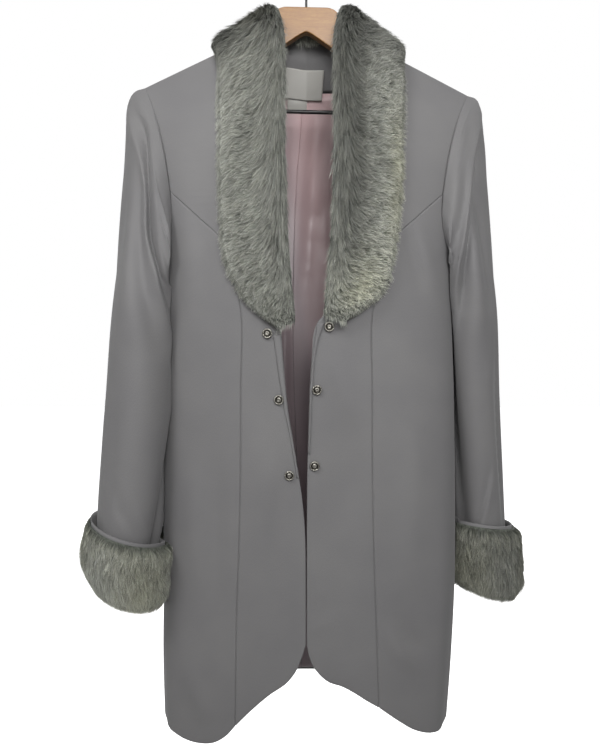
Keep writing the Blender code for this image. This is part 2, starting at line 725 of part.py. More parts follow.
def build_facing(side):
    """Narrow strip of facing that rolls out over the front edge and tapers down it."""
    rows = np.array(FACING_ROWS[side], float)
    drop = np.linspace(rows[0, 0], rows[-1, 0], 12)
    width = cubic(rows[:, 0], rows[:, 1], drop) * MM
    grid = []
    for share, out in ((0.0, 0.6), (0.5, 1.6), (1.0, 0.6)):
        x = side * (edge_half(side, drop) + 0.4 * MM + width * share)
        grid.append(front_place(side, x, drop * MM, out * MM + LINING))
    grid = np.stack(grid, axis=1)
    wall_object("facing_" + SIDES[side], grid, LINING, "cloth", to_front)


def neck_surface(x, drop, out):
    """Inside of the back neck: against the back below the neckline, leaning in above it."""
    path = np.array(BACK_NECK, float) * MM
    low = np.maximum(drop, np.interp(np.abs(x), path[:, 0], path[:, 1]))
    side = np.where(x < 0, RIGHT, LEFT)
    y = np.zeros_like(x)
    for one in (RIGHT, LEFT):
        place = body(one, turn_at(one, np.abs(x), low, True), low, -CLOTH - out)
        y = np.where(side == one, place[..., 1], y)
    y = y - STAND_LEAN * (low - drop)
    return np.stack([x, y, -drop - lean(x, drop)], axis=-1)


def build_neck():
    """Back neck facing and the two blank labels on it."""
    x = np.linspace(-1, 1, 13)[None, :] * NECK_FACING_HALF
    drop = np.linspace(NECK_FACING[0], NECK_FACING[1], 9)[:, None] * MM
    rise = 12 * MM * (np.abs(x) / NECK_FACING_HALF) ** 2 * np.clip((110 * MM - drop) / (46 * MM), 0, 1)
    grid = neck_surface(x + 0 * drop, drop + rise, 2.0 * MM)
    wall_object("neck_facing", grid, LINING, "cloth", to_back)
    for name, (left, top, wide, tall), out in (("label", LABEL, LABEL_OUT), ("size_tab", SIZE_TAB, TAB_OUT)):
        u = np.linspace(0, 1, 5)[None, :] * wide * MM
        v = np.linspace(0, 1, 5)[:, None] * tall * MM
        tilt = math.radians(LABEL_TILT)
        off = (out[0] + (out[1] - out[0]) * np.linspace(0, 1, 5)[:, None] + 0 * u) * MM
        grid = neck_surface(left * MM + u - v * tilt, top * MM + v + u * tilt * 0.6, 1.0 * MM)
        grid[..., 1] -= off - 1.0 * MM
        wall_object(name, grid, LABEL_WALL, "label", to_back)


def build_lining(side):
    """Half of the satin back lining, just inside the back."""
    rows = 18
    columns = 9
    turn = np.pi - np.linspace(0, 1, columns) * (np.pi - math.radians(LINING_TURN))
    at = np.linspace(0, 1, rows)[:, None]
    top = LINING_TOP + 268 * np.clip((np.linspace(0, 1, columns)[None, :] - 0.25) / 0.4, 0, 1)
    drop = (LINING_END + (top - LINING_END) * at) * MM
    grid = body(side, turn[None, :] + 0 * drop, drop, -CLOTH - LINING_GAP)
    grid[:, 0, 0] = side * SEAM
    wall_object("lining_" + SIDES[side], grid, LINING, "satin", from_axis)


def build_button(name, side, x, drop):
    """Turned metal button: a domed disc with a rim, on a short shank, standing on the cloth."""
    r = BUTTON_RADIUS
    h = BUTTON_HEIGHT
    foot = ((0, 0), (0.3 * r, 0), (0.3 * r, 0.4 * h), (r, 0.45 * h))
    crown = ((r, 0.85 * h), (0.8 * r, h), (0.6 * r, 0.85 * h), (0, h))
    profile = foot + crown
    mesh = bpy.data.meshes.new(name)
    edges = [(i, i + 1) for i in range(len(profile) - 1)]
    mesh.from_pydata([(p, 0, q) for p, q in profile], edges, [])
    obj = add_object(bpy.data.objects.new(name, mesh), "metal")
    turned = obj.modifiers.new("turned", "SCREW")
    turned.axis = "Z"
    turned.steps = 12
    turned.render_steps = 12
    turned.use_merge_vertices = True
    turned.merge_threshold = 0.0001
    turned.use_normal_calculate = True
    at = np.array([[x * MM]])
    low = np.array([[drop * MM]])
    step = 2 * MM
    place = front_place(side, at, low)[0, 0]
    right = front_place(side, at + side * step, low)[0, 0] - place
    down = front_place(side, at, low + step)[0, 0] - place
    out = np.cross(right, down) * side
    out = Vector(out).normalized()
    out = out if out.y < 0 else -out
    obj.rotation_euler = out.to_track_quat("Z", "Y").to_euler()
    obj.location = Vector(place) + out * 0.5 * MM


def add_wire(name, points, radius, kind):
    """Round wire along a path."""
    curve = bpy.data.curves.new(name, "CURVE")
    curve.dimensions = "3D"
    curve.bevel_depth = radius
    curve.bevel_resolution = 2
    curve.use_fill_caps = True
    spline = curve.splines.new("POLY")
    spline.points.add(len(points) - 1)
    for point, place in zip(spline.points, points):
        point.co = (*place, 1)
    return add_object(bpy.data.objects.new(name, curve), kind)


def build_hanger():
    """Wooden bow, trouser bar and wire hook."""
    top = np.array(WOOD_TOP, float) * MM
    below = np.array(WOOD_BELOW, float) * MM
    half = np.concatenate([top, below])
    left = half[1:-1][::-1] * np.array([-1, 1])
    outline_points = np.concatenate([half, left])
    curve = bpy.data.curves.new("hanger_wood", "CURVE")
    curve.dimensions = "2D"
    curve.fill_mode = "BOTH"
    curve.extrude = WOOD_THICK / 2 - WOOD_EDGE
    curve.bevel_depth = WOOD_EDGE
    curve.bevel_resolution = 0
    spline = curve.splines.new("POLY")
    spline.points.add(len(outline_points) - 1)
    spline.use_cyclic_u = True
    for point, (x, drop) in zip(spline.points, outline_points):
        point.co = (x, -drop - LEAN * x, 0, 1)
    wood = add_object(bpy.data.objects.new("hanger_wood", curve), "wood")
    curve.offset = -WOOD_EDGE
    wood.rotation_euler = (math.pi / 2, 0, 0)
    ends = ((-1, 1.9), (-1, 0), (1, 0), (1, 1.9))
    rise = [(s * BAR_HALF, 0, -BAR_DROP - LEAN * s * BAR_HALF + z * MM) for s, z in ends]
    add_wire("hanger_bar", rise, BAR_RADIUS, "wire")
    arc = np.radians(np.linspace(-58, 205, 22))
    centre = HOOK_RADIUS + HOOK_WIRE
    loop = [(centre * math.cos(a), 0, -HOOK_RADIUS + centre * math.sin(a)) for a in arc]
    neck = [(0, 0, -61.5 * MM), (0, 0, -48 * MM), (2.2 * MM, 0, -40 * MM)]
    add_wire("hanger_hook", neck + loop, HOOK_WIRE, "wire")


for old in list(bpy.data.objects):
    bpy.data.objects.remove(old, do_unlink=True)
collection = bpy.data.collections.new("fur_trimmed_coat_on_hanger")
bpy.context.scene.collection.children.link(collection)

for side, name in SIDES.items():
    front = inset(front_grid(side), right=0.02, high=0.02)
    wall_object("front_" + name, on_body(side, front), CLOTH, "cloth", from_axis)
    flank = inset(side_grid(side), left=0.02, right=0.02, high=0.01)
    wall_object("side_front_" + name, on_body(side, flank), CLOTH, "cloth", from_axis)
    arm = np.array([side * 0.226, -0.01, 0])
    wall_object("sleeve_" + name, sleeve_grid(side), CLOTH, "cloth", from_axis, True, arm)
    build_cuff(side)
    build_collar(side)
    build_facing(side)
    build_lining(side)
    for number, (x, drop) in enumerate(BUTTONS[side], 1):
        build_button(f"button_{name}_{number}", side, x, drop)
back_right = on_body(RIGHT, inset(back_half(RIGHT), right=0.02, high=0.02))
back_left = on_body(LEFT, inset(back_half(LEFT), right=0.02, high=0.02))
whole = np.concatenate([back_right[:, ::-1], back_left[:, 1:]], axis=1)
wall_object("back", whole, CLOTH, "cloth", from_axis)
build_neck()
build_hanger()
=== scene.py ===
"""Looks of the fur-trimmed coat on its hanger: cloth shells, fur, satin, buttons and the hanger's finishes.

Metres, +Z up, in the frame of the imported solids, whose origin is the inside top of the hook.
Side -1 is the wearer's right, +1 the wearer's left. Drop is the distance below the origin.
Turn runs round a section of the body: 0 at the front, half pi at the side, pi behind.
"""

import bpy
import numpy as np
from mathutils import Matrix


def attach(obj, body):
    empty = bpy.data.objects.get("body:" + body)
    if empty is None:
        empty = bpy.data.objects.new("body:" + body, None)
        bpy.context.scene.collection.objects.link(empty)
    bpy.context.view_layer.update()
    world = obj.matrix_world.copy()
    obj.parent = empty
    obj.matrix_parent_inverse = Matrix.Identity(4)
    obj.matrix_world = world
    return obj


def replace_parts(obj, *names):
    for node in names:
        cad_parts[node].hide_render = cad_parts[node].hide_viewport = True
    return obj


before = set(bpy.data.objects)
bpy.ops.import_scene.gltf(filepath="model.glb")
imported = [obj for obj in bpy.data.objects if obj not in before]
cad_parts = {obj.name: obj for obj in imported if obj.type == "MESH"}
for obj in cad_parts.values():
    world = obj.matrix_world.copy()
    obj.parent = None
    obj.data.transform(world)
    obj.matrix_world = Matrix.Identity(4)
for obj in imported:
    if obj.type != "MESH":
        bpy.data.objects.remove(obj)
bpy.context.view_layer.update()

MM = 0.001
RIGHT = -1
LEFT = 1
SIDES = {RIGHT: "right", LEFT: "left"}
# Faces of the body that have creases; the inside is the lining
FRONT, BACK, INSIDE = range(3)

# Walls of cloth and lining, gap at a seam, and room under the collar, in general and more at the shoulder
CLOTH = 1.5 * MM
LINING = 1.0 * MM
SEAM = 0.4 * MM
UNDER = 0.8 * MM
UNDER_SHOULDER = 3.0 * MM

# Shoulders: a roof line that falls on both sides from above the neck
ROOF_TOP = 64.2 * MM
ROOF_SLOPE = 0.478
ROOF_REACH = 270 * MM
ROOF_ROUND = 0.75
# The hanger leans: drop gained for each metre towards the wearer's left, fading out above the underarm
LEAN = 0.023
LEAN_FROM = 170 * MM
LEAN_TO = 380 * MM
SECTION_POWER = 2.8

# Body sections: drop, half width on the wearer's right and left, depth of front and back
BODY_ROWS = (
    (60, 262, 262, 76, 70),
    (170, 240, 240, 77, 72),
    (235, 214, 214, 78, 73),
    (300, 196, 196, 79, 74),
    (387, 189, 189, 80, 73),
    (560, 190, 194, 78, 68),
    (680, 191.5, 198, 77, 70),
    (800, 191.5, 200, 77, 74),
    (900, 194, 197, 78, 78),
    (1010, 193, 191, 78, 80),
)

# Long folds of the body: centre turn in degrees, lean of the turn, first and last drop, half width, depth
FOLDS = {
    RIGHT: (
        (52, 6, 480, 1100, 9, 4.0),
        (74, -8, 560, 1100, 9, -3.5),
        (122, -6, 520, 1100, 10, 5.0),
        (155, 5, 480, 1100, 9, -4.0),
    ),
    LEFT: (
        (47, 10, 520, 1100, 9, 4.5),
        (68, -6, 600, 1100, 8, -3.5),
        (120, 6, 520, 1100, 10, 5.0),
        (152, -4, 450, 1100, 9, -4.0),
    ),
}

# Outlines as (half width, drop) in mm
PRINCESS = ((168, 302), (150, 318), (128, 338), (106, 358), (90, 392),
            (80, 440), (80, 540), (82, 680), (88, 850))
PRINCESS_END = {RIGHT: (90, 970), LEFT: (92, 946)}
ARMHOLE_HIGH = ((208.4, 164.8), (195, 193), (184, 224), (174, 264), (168, 302))
ARMHOLE_LOW = ((168, 302), (167, 330), (172, 356), (183, 376))
ARMHOLE_BACK = ((208.4, 164.8), (200, 197), (191, 239), (184, 285), (180, 325), (182, 358), (186, 377))
UNDERARM = 387
BACK_NECK = ((0, 115), (30, 113.5), (60, 108.6), (85, 105.8))
ROLL_LOW = ((33, 440), (33, 330))
ROLL_HIGH = ((33, 330), (33, 250), (34, 180), (44, 139), (66, 113.5), (85, 105.8))
FRONT_SPLIT = 14 / 23
BACK_SPLIT = 14 / 24
FRONT_EDGE = {
    RIGHT: ((0.6, 862), (0.7, 800), (1.0, 752), (2.0, 715), (5.0, 680),
            (11.7, 634), (17, 600), (22, 570), (27, 520), (30, 480)),
    LEFT: ((0.6, 862), (0.5, 800), (0.5, 752), (0.5, 715), (0.7, 680),
           (1.2, 634), (2.0, 600), (3.0, 560), (6.0, 505), (12, 462)),
}
HEM_FRONT = {
    RIGHT: ((0.6, 862), (3.6, 872), (8, 885), (13.5, 897), (23, 910),
            (47, 928), (72, 951), (90, 970)),
    LEFT: ((0.6, 862), (3.2, 876), (8, 889), (15, 899), (29, 911),
           (44, 916), (60, 925), (76, 936), (92, 946)),
}
HEM_SIDE = {
    RIGHT: ((90, 970), (104, 986), (119, 995.5), (137, 999), (156, 998), (172, 993)),
    LEFT: ((92, 946), (120, 968), (138, 981), (158, 990), (174, 993)),
}
HEM_AT_SIDE = 990
HEM_BACK = 980
# Share of the side panel's hem that HEM_SIDE gives; the rest runs straight to the side seam
HEM_SIDE_SHARE = 0.75
# Share of the lower armhole, in front and behind, before it curves into the underarm
ARM_SHARE = {False: 0.82, True: 0.88}
# Crowding of the rows of a panel towards the shoulder, in front and behind
FRONT_CROWD = 1.6
BACK_CROWD = 1.4
# Rolls of the cloth, depth and width: into a seam, over a free edge, and at the sleeve's end
SEAM_ROLL = (1.1 * MM, 1.0 * MM)
EDGE_ROLL = (0.7 * MM, 1.6 * MM)
SLEEVE_ROLL = (2.0 * MM, 1.6 * MM)

# Sleeve rings: drop, then the centre's half width and Y and the half sizes of an oval
SLEEVE_ROWS = {
    RIGHT: (
        (440, 202, -22, 43, 64),
        (560, 210, -34, 44, 58),
        (690, 221, -42, 44, 53),
        (778, 231.5, -44, 38, 47),
    ),
    LEFT: (
        (440, 210, 14, 42, 62),
        (560, 221, 24, 42, 58),
        (690, 235, 34, 41, 54),
        (812, 248, 38, 38, 47),
    ),
}
# A vertical inside the sleeves, from which their cloth faces away
SLEEVE_AXIS = (0.226, -0.01)
# Sleeve head: how far its top stands out, where one more ring lies on the way to the first oval, and its puff
SLEEVE_HEAD = 14 * MM
SLEEVE_UPPER = 0.39
SLEEVE_PUFF = 4 * MM
# Room between sleeve and body, and the gap at the armhole, which is closed
SLEEVE_CLEAR = 1.2 * MM
SLEEVE_GAP = -1.2 * MM
# Ring below the armhole: how far it stands out at the underarm and in front, and falls at the top and underarm
UNDERARM_EASE = 4 * MM
FRONT_EASE = 7 * MM
HEAD_FALL = 11 * MM
UNDERARM_FALL = 16 * MM
# How far the sleeve laps over the front, and where round the ring
OVERLAP = {RIGHT: 14 * MM, LEFT: 0.0}
OVERLAP_PLACE = (0.38, 0.09)
# Shares of the length at which the sleeve's rings lie
SLEEVE_KNOTS = np.array((0, 0.06, 0.20, 0.42, 0.60, 0.80, 1.0))
# Sleeve folds: place round the ring (0 outer, 0.25 front) at both ends, ends along the sleeve, half width, depth
SLEEVE_FOLDS = {
    RIGHT: (
        (0.10, 0.36, 0.05, 0.52, 0.045, -6.0),
        (0.06, 0.25, 0.10, 0.50, 0.05, 4.0),
        (0.20, 0.10, 0.48, 0.95, 0.06, -4.0),
        (0.62, 0.80, 0.15, 0.75, 0.06, -5.0),
        (0.47, 0.43, 0.62, 1.15, 0.05, -11.0),
        (0.63, 0.63, 0.50, 1.20, 0.085, 16.0),
        (0.0, 0.0, 0.05, 0.36, 0.06, 5.5),
    ),
    LEFT: (
        (0.07, 0.20, 0.04, 0.55, 0.045, -6.0),
        (0.13, 0.26, 0.08, 0.50, 0.05, 4.0),
        (0.16, 0.08, 0.45, 0.95, 0.06, -4.0),
        (0.62, 0.80, 0.15, 0.75, 0.06, -5.0),
        (0.0, 0.0, 0.05, 0.36, 0.06, 4.5),
        (0.39, 0.37, 0.40, 1.10, 0.05, -7.0),
        (0.28, 0.25, 0.42, 1.08, 0.06, 3.5),
    ),
}

# Cuffs: drop of the foot, height, and by how much the outer side is taller and its foot higher
CUFF_FOOT = {RIGHT: 802 * MM, LEFT: 827 * MM}
CUFF_TALL = {RIGHT: 78 * MM, LEFT: 90 * MM}
CUFF_TILT = {RIGHT: -2 * MM, LEFT: 5 * MM}
CUFF_SLANT = {RIGHT: 19 * MM, LEFT: -11 * MM}
# Room that the body leaves for the cuff's hair, its fur, its band and the sleeve inside it
HAIR_CLEAR = 2 * MM
CUFF_CLEAR = 3 * MM
BAND_CLEAR = 6 * MM
WRIST_CLEAR = 7.5 * MM
# Drops between which the sleeve's room to the body grows
WRIST = {RIGHT: (719 * MM, 738 * MM), LEFT: (684 * MM, 722 * MM)}
# Cuff's band: flare at the rim, distance from the sleeve, wall, and how far it shows above the fur
CUFF_FLARE = 5 * MM
CUFF_EASE = 1.0 * MM
CUFF_BAND = 1.2 * MM
CUFF_SHOWS = 3 * MM
# Rise of the rim in front, shares by which the fur thins at the outer foot and rim, and the foot's part of the height
CUFF_FRONT = {RIGHT: 2 * MM, LEFT: 7 * MM}
CUFF_THIN = {RIGHT: 0.55, LEFT: -0.3}
CUFF_THIN_TOP = {RIGHT: 0.45, LEFT: 0.05}
CUFF_THIN_FOOT = 0.22
# Tone of the hair: the left cuff hangs in the sleeve's shade
CUFF_TONE = {RIGHT: 0.90, LEFT: 0.62}
# Fur of a cuff: share of the cuff's height, distance outside the band in mm
CUFF_FUR = ((-0.03, 4), (0.03, 11), (0.17, 15), (0.42, 16), (0.72, 14.5), (0.93, 11), (1.0, 5))

# Shawl collar: X, Y and drop of the inner and the outer edge of each section, and the height of the fur
COLLAR_ROWS = (
    (0, 29, 56, 0, 60, 190, 24),
    (26, 27, 58, 62, 54, 186, 24),
    (40, 16, 62, 104, 30, 164, 21),
    (42, -2, 65, 111, 4, 127, 18),
    (37, -20, 74, 112, -26, 150, 20),
    (30, -34, 110, 114, -42, 196, 23),
    (28, -48, 180, 116, -50, 252, 25),
    (27, -62, 265, 116, -60, 318, 26),
    (25, -70, 345, 107, -66, 386, 26),
    (21, -74, 410, 84, -74, 428, 25),
    (18, -76, 444, 57, -76, 453, 22),
    (17, -77, 459, 38, -77, 466, 16),
)
# Shift of the collar towards the wearer's left, and how much lower the lappets hang
COLLAR_SHIFT = 6.5 * MM
COLLAR_DROP = {RIGHT: 2 * MM, LEFT: -6 * MM}
# How far the outer edge of the fur lies inside its table's, mm, at shares of the way down
COLLAR_NARROW = {
    RIGHT: ((0, 0), (0.4, 0), (0.4545, 2), (0.545, 7), (0.636, 8),
            (0.727, 4), (0.818, -1), (0.909, -4), (1, -4)),
    LEFT: ((0, 0), (0.4, 0), (0.4545, 2), (0.545, 9), (0.636, 12),
           (0.727, 11), (0.818, -4), (0.909, -4), (1, -3)),
}
# Loft of the fur where it rolls over the shoulder, and its place and width down and across the collar
COLLAR_LOFT = {RIGHT: 1.5 * MM, LEFT: -5 * MM}
COLLAR_LOFT_AT = (0.27, 0.07, 0.42, 0.25)
# The fur's least height, and the power of the rounding across the collar
FUR_LEAST = 4 * MM
FUR_ROUND = 2.6
# Slope of the hair, in degrees down from straight out, at shares of the way down the collar
COLLAR_COMB = {
    RIGHT: ((0, 5), (0.25, -5), (0.36, 0), (0.45, 5), (0.55, -8),
            (0.64, -4), (0.73, 5), (0.82, 22), (0.91, 42), (1, 64)),
    LEFT: ((0, 5), (0.25, -15), (0.36, -38), (0.45, -42), (0.55, -30),
           (0.64, -9), (0.73, -10), (0.82, 4), (0.91, 26), (1, 62)),
}
# Yellowed places of the collar: strength, place and width down it, place and width across it
COLLAR_WARM = {
    RIGHT: ((0.35, 0.30, 0.06, 0.2, 0.2),),
    LEFT: ((0.42, 0.62, 0.11, 0.8, 0.16), (0.36, 0.84, 0.08, 0.5, 0.32)),
}

# Hair: number and length of hairs, size of a lock, and share of the fur's height at which the roots sit
COLLAR_HAIRS = 62000
CUFF_HAIRS = 36000
NECK_HAIRS = 3200
COLLAR_HAIR = 18 * MM
CUFF_HAIR = 24 * MM
NECK_HAIR = 15 * MM
LOCK = 4.2 * MM
LOCK_KINDS = 8192
HAIR_ROOT = 0.42
# Shares along a hair of its root, middle and tip, and how high its bend stands over the fur
HAIR_AT = (0.0, 0.55, 1.0)
HAIR_BEND = 1.04
# Half width of a hair, least and spread
HAIR_HALF = (0.24 * MM, 0.12 * MM)
# Spread of a whole lock and of each hair in it: way, length, rise and tone; and the twist and yellow of each hair
WAY_SPREAD = (np.radians(10), np.radians(8))
LENGTH_SPREAD = (0.14, 0.16)
RISE_SPREAD = (0.12, 0.13)
TONE_SPREAD = (0.15, 0.24)
TWIST_SPREAD = np.radians(35)
WARM_SPREAD = 0.10

# Facing strips rolled out on the fronts: drop and width
FACING_ROWS = {
    RIGHT: ((476, 9.5), (500, 8.0), (540, 6.0), (580, 3.6), (620, 2.6), (650, 2.2)),
    LEFT: ((462, 9.0), (480, 5.0), (500, 3.6), (540, 3.0), (580, 2.6), (620, 2.2)),
}

# Back-neck facing: first and last drop in mm, half width, and lean inwards above the neckline
NECK_FACING = (64, 150)
NECK_FACING_HALF = 44 * MM
STAND_LEAN = 0.10
# Dip of the facing's upper corners, and the drops between which it fades out
NECK_DIP = 12 * MM
NECK_DIP_FADE = (110 * MM, 64 * MM)
# Lining: drop of its top and end in mm, turn of its sides in degrees, and distance from the back
LINING_TOP = 151.2
LINING_END = 974
LINING_TURN = 103
LINING_GAP = 2.3 * MM
# How much lower the lining's top lies at its sides, its soft pleats, and its hem's roll: depth and width
LINING_FALL = 268
LINING_PLEATS = 26
LINING_PLEAT = 1.4 * MM
LINING_ROLL = (2.5 * MM, 4)
# Drift of the lining's centre-back seam towards the wearer's right: drop and X in mm
LINING_SEAM = ((151, -5), (190, -7), (240, -11), (330, -16), (430, -18), (700, -12), (974, -6))
# Labels: X of one edge, drop of the top, width and height, then distance from the facing at top and foot, in mm
LABEL = (-28, 124, 52, 36)
SIZE_TAB = (-24, 158, 26, 15)
LABEL_WALL = 1.0 * MM
LABEL_OUT = (3.5, 7.0)
TAB_OUT = (4.9, 5.3)
LABEL_TILT = 4

# Buttons
BUTTON_RADIUS = 6 * MM
BUTTON_HEIGHT = 4 * MM
# Half section of a button from its shank to its dome: shares of its radius and height, and how tarnished it is
BUTTON_SECTION = (
    (0.0, 0.0, 0), (0.30, 0.0, 0), (0.30, 0.40, 0.5), (0.60, 0.42, 0.8), (0.90, 0.46, 0.5), (0.98, 0.54, 0.2),
    (1.0, 0.66, 0), (0.98, 0.80, 0), (0.92, 0.92, 0), (0.84, 0.97, 0), (0.76, 0.92, 0.2), (0.71, 0.80, 0.7),
    (0.67, 0.66, 0.95), (0.56, 0.64, 0.95), (0.48, 0.68, 0.8), (0.40, 0.84, 0.1), (0.30, 0.90, 0), (0.15, 0.84, 0.3),
    (0.0, 0.80, 0.5),
)
BUTTON_STEPS = 48
BUTTON_BEADS = 12
# Centre of each button: X and drop in mm
BUTTONS = {
    RIGHT: ((-47, 474), (-33.5, 554), (-21, 647)),
    LEFT: ((27, 466), (12.5, 542), (9.8, 635)),
}

# Hanger: board with its outline as (half width, drop) in mm, trouser bar, hook's wire, loop and neck
WOOD_THICK = 12 * MM
WOOD_EDGE = 1.2 * MM
WOOD_STEPS = 420
WOOD_TOP = ((0, 62), (28, 62), (36, 64.5), (54, 83), (72, 105.3),
            (88, 116.5), (140, 140.6), (180, 160.9), (191, 168.1), (195, 174.5))
WOOD_BELOW = ((193, 188), (186, 192), (140, 173), (85, 145), (40, 116.5), (8, 95.5), (0, 91.6))
BAR_RADIUS = 2.5 * MM
BAR_DROP = 189.5 * MM
BAR_HALF = 172 * MM
HOOK_WIRE = 1.5 * MM
HOOK_RADIUS = 17 * MM
HOOK_ARC = (-58, 205)
HOOK_NECK = ((0, 0, -61.5), (0, 0, -55), (0, 0, -48), (0.8, 0, -43.5), (2.2, 0, -40))

# Creases, by side and face: three points of (half width, drop), half width of the crease, depth
CREASES = {
    (LEFT, FRONT): (
        (116, 345, 128, 378, 146, 432, 9, -3.4),
        (128, 335, 142, 378, 158, 430, 12, 2.9),
        (4, 806, 28, 806, 52, 804, 3, -1.7),
        (4, 800, 28, 800, 52, 798, 5, 1.3),
        (110, 808, 140, 806, 178, 812, 4, -1.5),
        (4, 846, 20, 838, 44, 826, 6, 1.5),
        (98, 832, 116, 872, 142, 898, 12, 3.4),
        (112, 826, 134, 862, 160, 884, 12, -2.5),
        (40, 560, 50, 640, 44, 720, 22, -3.4),
        (24, 500, 44, 545, 70, 600, 14, 2.9),
        (130, 560, 134, 680, 128, 800, 18, 3.4),
    ),
    (RIGHT, FRONT): (
        (122, 240, 124, 330, 120, 440, 20, -3.4),
        (142, 640, 140, 720, 142, 790, 18, 3.8),
        (118, 620, 114, 720, 118, 860, 16, -3.4),
        (40, 560, 46, 660, 40, 780, 22, 3.4),
        (24, 640, 40, 720, 30, 830, 14, -2.9),
        (60, 480, 56, 560, 40, 640, 14, -2.5),
        (150, 880, 140, 930, 120, 970, 14, 2.9),
        (150, 330, 140, 390, 150, 470, 14, 2.9),
    ),
    (RIGHT, BACK): (
        (60, 240, 70, 330, 66, 430, 22, -3.8),
        (140, 300, 110, 360, 70, 400, 12, 2.9),
        (90, 600, 100, 740, 92, 900, 20, 3.8),
        (30, 640, 24, 780, 32, 930, 18, -3.2),
    ),
    (LEFT, BACK): (
        (70, 250, 82, 340, 76, 440, 22, -3.4),
        (150, 310, 118, 372, 74, 410, 12, 3.2),
        (30, 560, 36, 700, 28, 880, 20, 3.8),
        (100, 640, 96, 760, 104, 900, 18, -3.4),
    ),
    (LEFT, INSIDE): (
        (18, 170, 21, 270, 15, 440, 9, -6.0),
        (42, 200, 37, 320, 40, 480, 8, -4.0),
    ),
    (RIGHT, INSIDE): (
        (22, 180, 26, 300, 27, 450, 9, -5.0),
        (8, 400, 18, 520, 14, 640, 9, -5.0),
    ),
}

# Creases of the sleeves: three points of (place, share of the length), half width of place, depth
SLEEVE_CREASES = {
    RIGHT: (
        (0.24, 0.10, 0.30, 0.20, 0.38, 0.30, 0.026, 2.6),
        (0.21, 0.14, 0.26, 0.24, 0.34, 0.32, 0.020, -2.2),
        (0.30, 0.24, 0.33, 0.31, 0.40, 0.38, 0.018, 1.8),
        (0.15, 0.86, 0.24, 0.92, 0.34, 0.99, 0.022, 1.6),
        (0.18, 0.72, 0.27, 0.82, 0.36, 0.90, 0.026, -1.8),
        (0.08, 0.60, 0.12, 0.75, 0.16, 0.92, 0.030, 1.8),
        (0.60, 0.10, 0.70, 0.30, 0.82, 0.50, 0.032, -3.0),
        (0.66, 0.40, 0.74, 0.56, 0.86, 0.70, 0.030, 2.4),
    ),
    LEFT: (
        (0.19, 0.40, 0.18, 0.62, 0.17, 0.90, 0.034, 2.0),
        (0.12, 0.36, 0.11, 0.62, 0.12, 0.94, 0.030, -2.6),
        (0.27, 0.16, 0.32, 0.24, 0.38, 0.32, 0.024, 1.6),
        (0.60, 0.10, 0.70, 0.30, 0.82, 0.50, 0.032, -3.0),
        (0.66, 0.40, 0.74, 0.56, 0.86, 0.70, 0.030, 2.4),
    ),
}

# Sharp folds of the sleeves: kind (step falls towards the body, ridge is even), (place, share) points, reach, depth
SLEEVE_PLEATS = {
    RIGHT: (
        ("step", ((0.01, 0.05), (0.026, 0.09), (0.119, 0.111), (0.19, 0.149), (0.23, 0.205), (0.287, 0.256),
                  (0.359, 0.383), (0.43, 0.50)), 17, 7.5),
        ("ridge", ((0.165, 0.07), (0.21, 0.08), (0.26, 0.082), (0.33, 0.075)), 7, 2.6),
        ("ridge", ((0.26, 0.12), (0.30, 0.125), (0.345, 0.115), (0.38, 0.10)), 6, 2.2),
        ("ridge", ((0.30, 0.785), (0.355, 0.833), (0.40, 0.88)), 7, 2.2),
        ("ridge", ((0.20, 0.80), (0.25, 0.83), (0.30, 0.87)), 7, 2.0),
        ("ridge", ((0.16, 0.84), (0.21, 0.88), (0.26, 0.91)), 6, 1.6),
    ),
    LEFT: (
        ("step", ((0.005, 0.05), (0.013, 0.085), (0.06, 0.119), (0.118, 0.141), (0.165, 0.175), (0.205, 0.205),
                  (0.27, 0.27), (0.31, 0.36), (0.33, 0.45)), 18, -7.5),
        ("step", ((0.20, 0.74), (0.24, 0.80), (0.29, 0.86), (0.35, 0.90)), 9, 2.2),
        ("ridge", ((0.30, 0.09), (0.33, 0.13), (0.37, 0.16)), 6, 2.0),
    ),
}
# Size of one turn of place round the sleeve, and of its whole length, for distances on it
SLEEVE_ROUND = 0.34
SLEEVE_LONG = 0.62


def cubic(keys, values, at):
    """Smooth curve through a table: cubic pieces whose slopes are finite differences of the rows."""
    keys = np.asarray(keys, float)
    values = np.asarray(values, float)
    at = np.clip(at, keys[0], keys[-1])
    slopes = np.gradient(values, keys)
    i = np.clip(np.searchsorted(keys, at) - 1, 0, len(keys) - 2)
    step = keys[i + 1] - keys[i]
    t = (at - keys[i]) / step
    first = (2 * t**3 - 3 * t**2 + 1) * values[i] + (t**3 - 2 * t**2 + t) * step * slopes[i]
    second = (3 * t**2 - 2 * t**3) * values[i + 1] + (t**3 - t**2) * step * slopes[i + 1]
    return first + second


def bell(value, centre, width):
    """Bell curve of a value about a centre."""
    return np.exp(-(((value - centre) / width) ** 2))


def unit(vectors):
    """Vectors divided by their lengths."""
    return vectors / np.maximum(np.linalg.norm(vectors, axis=-1, keepdims=True), 1e-9)


def lengths_along(points):
    """Running length of a line of points, from 0."""
    return np.concatenate([[0], np.cumsum(np.linalg.norm(np.diff(points, axis=0), axis=1))])


def smooth_path(points, at):
    """Points along a smooth path through the given points, at shares of its length."""
    points = np.array(points, float)
    points = points[np.concatenate([[True], np.any(np.diff(points, axis=0) != 0, axis=1)])]
    run = lengths_along(points)
    return np.stack([cubic(run / run[-1], column, at) for column in points.T], axis=-1)


def joined_path(parts, at):
    """Like smooth_path for parts that meet at corners, each part taking a share by its length."""
    lengths = [lengths_along(np.array(part, float))[-1] for part in parts]
    ends = np.concatenate([[0], np.cumsum(lengths)]) / sum(lengths)
    out = np.zeros((len(at), 2))
    for part, low, high in zip(parts, ends[:-1], ends[1:]):
        here = (at >= low) & (at <= high)
        out[here] = smooth_path(part, (at[here] - low) / (high - low))
    return out


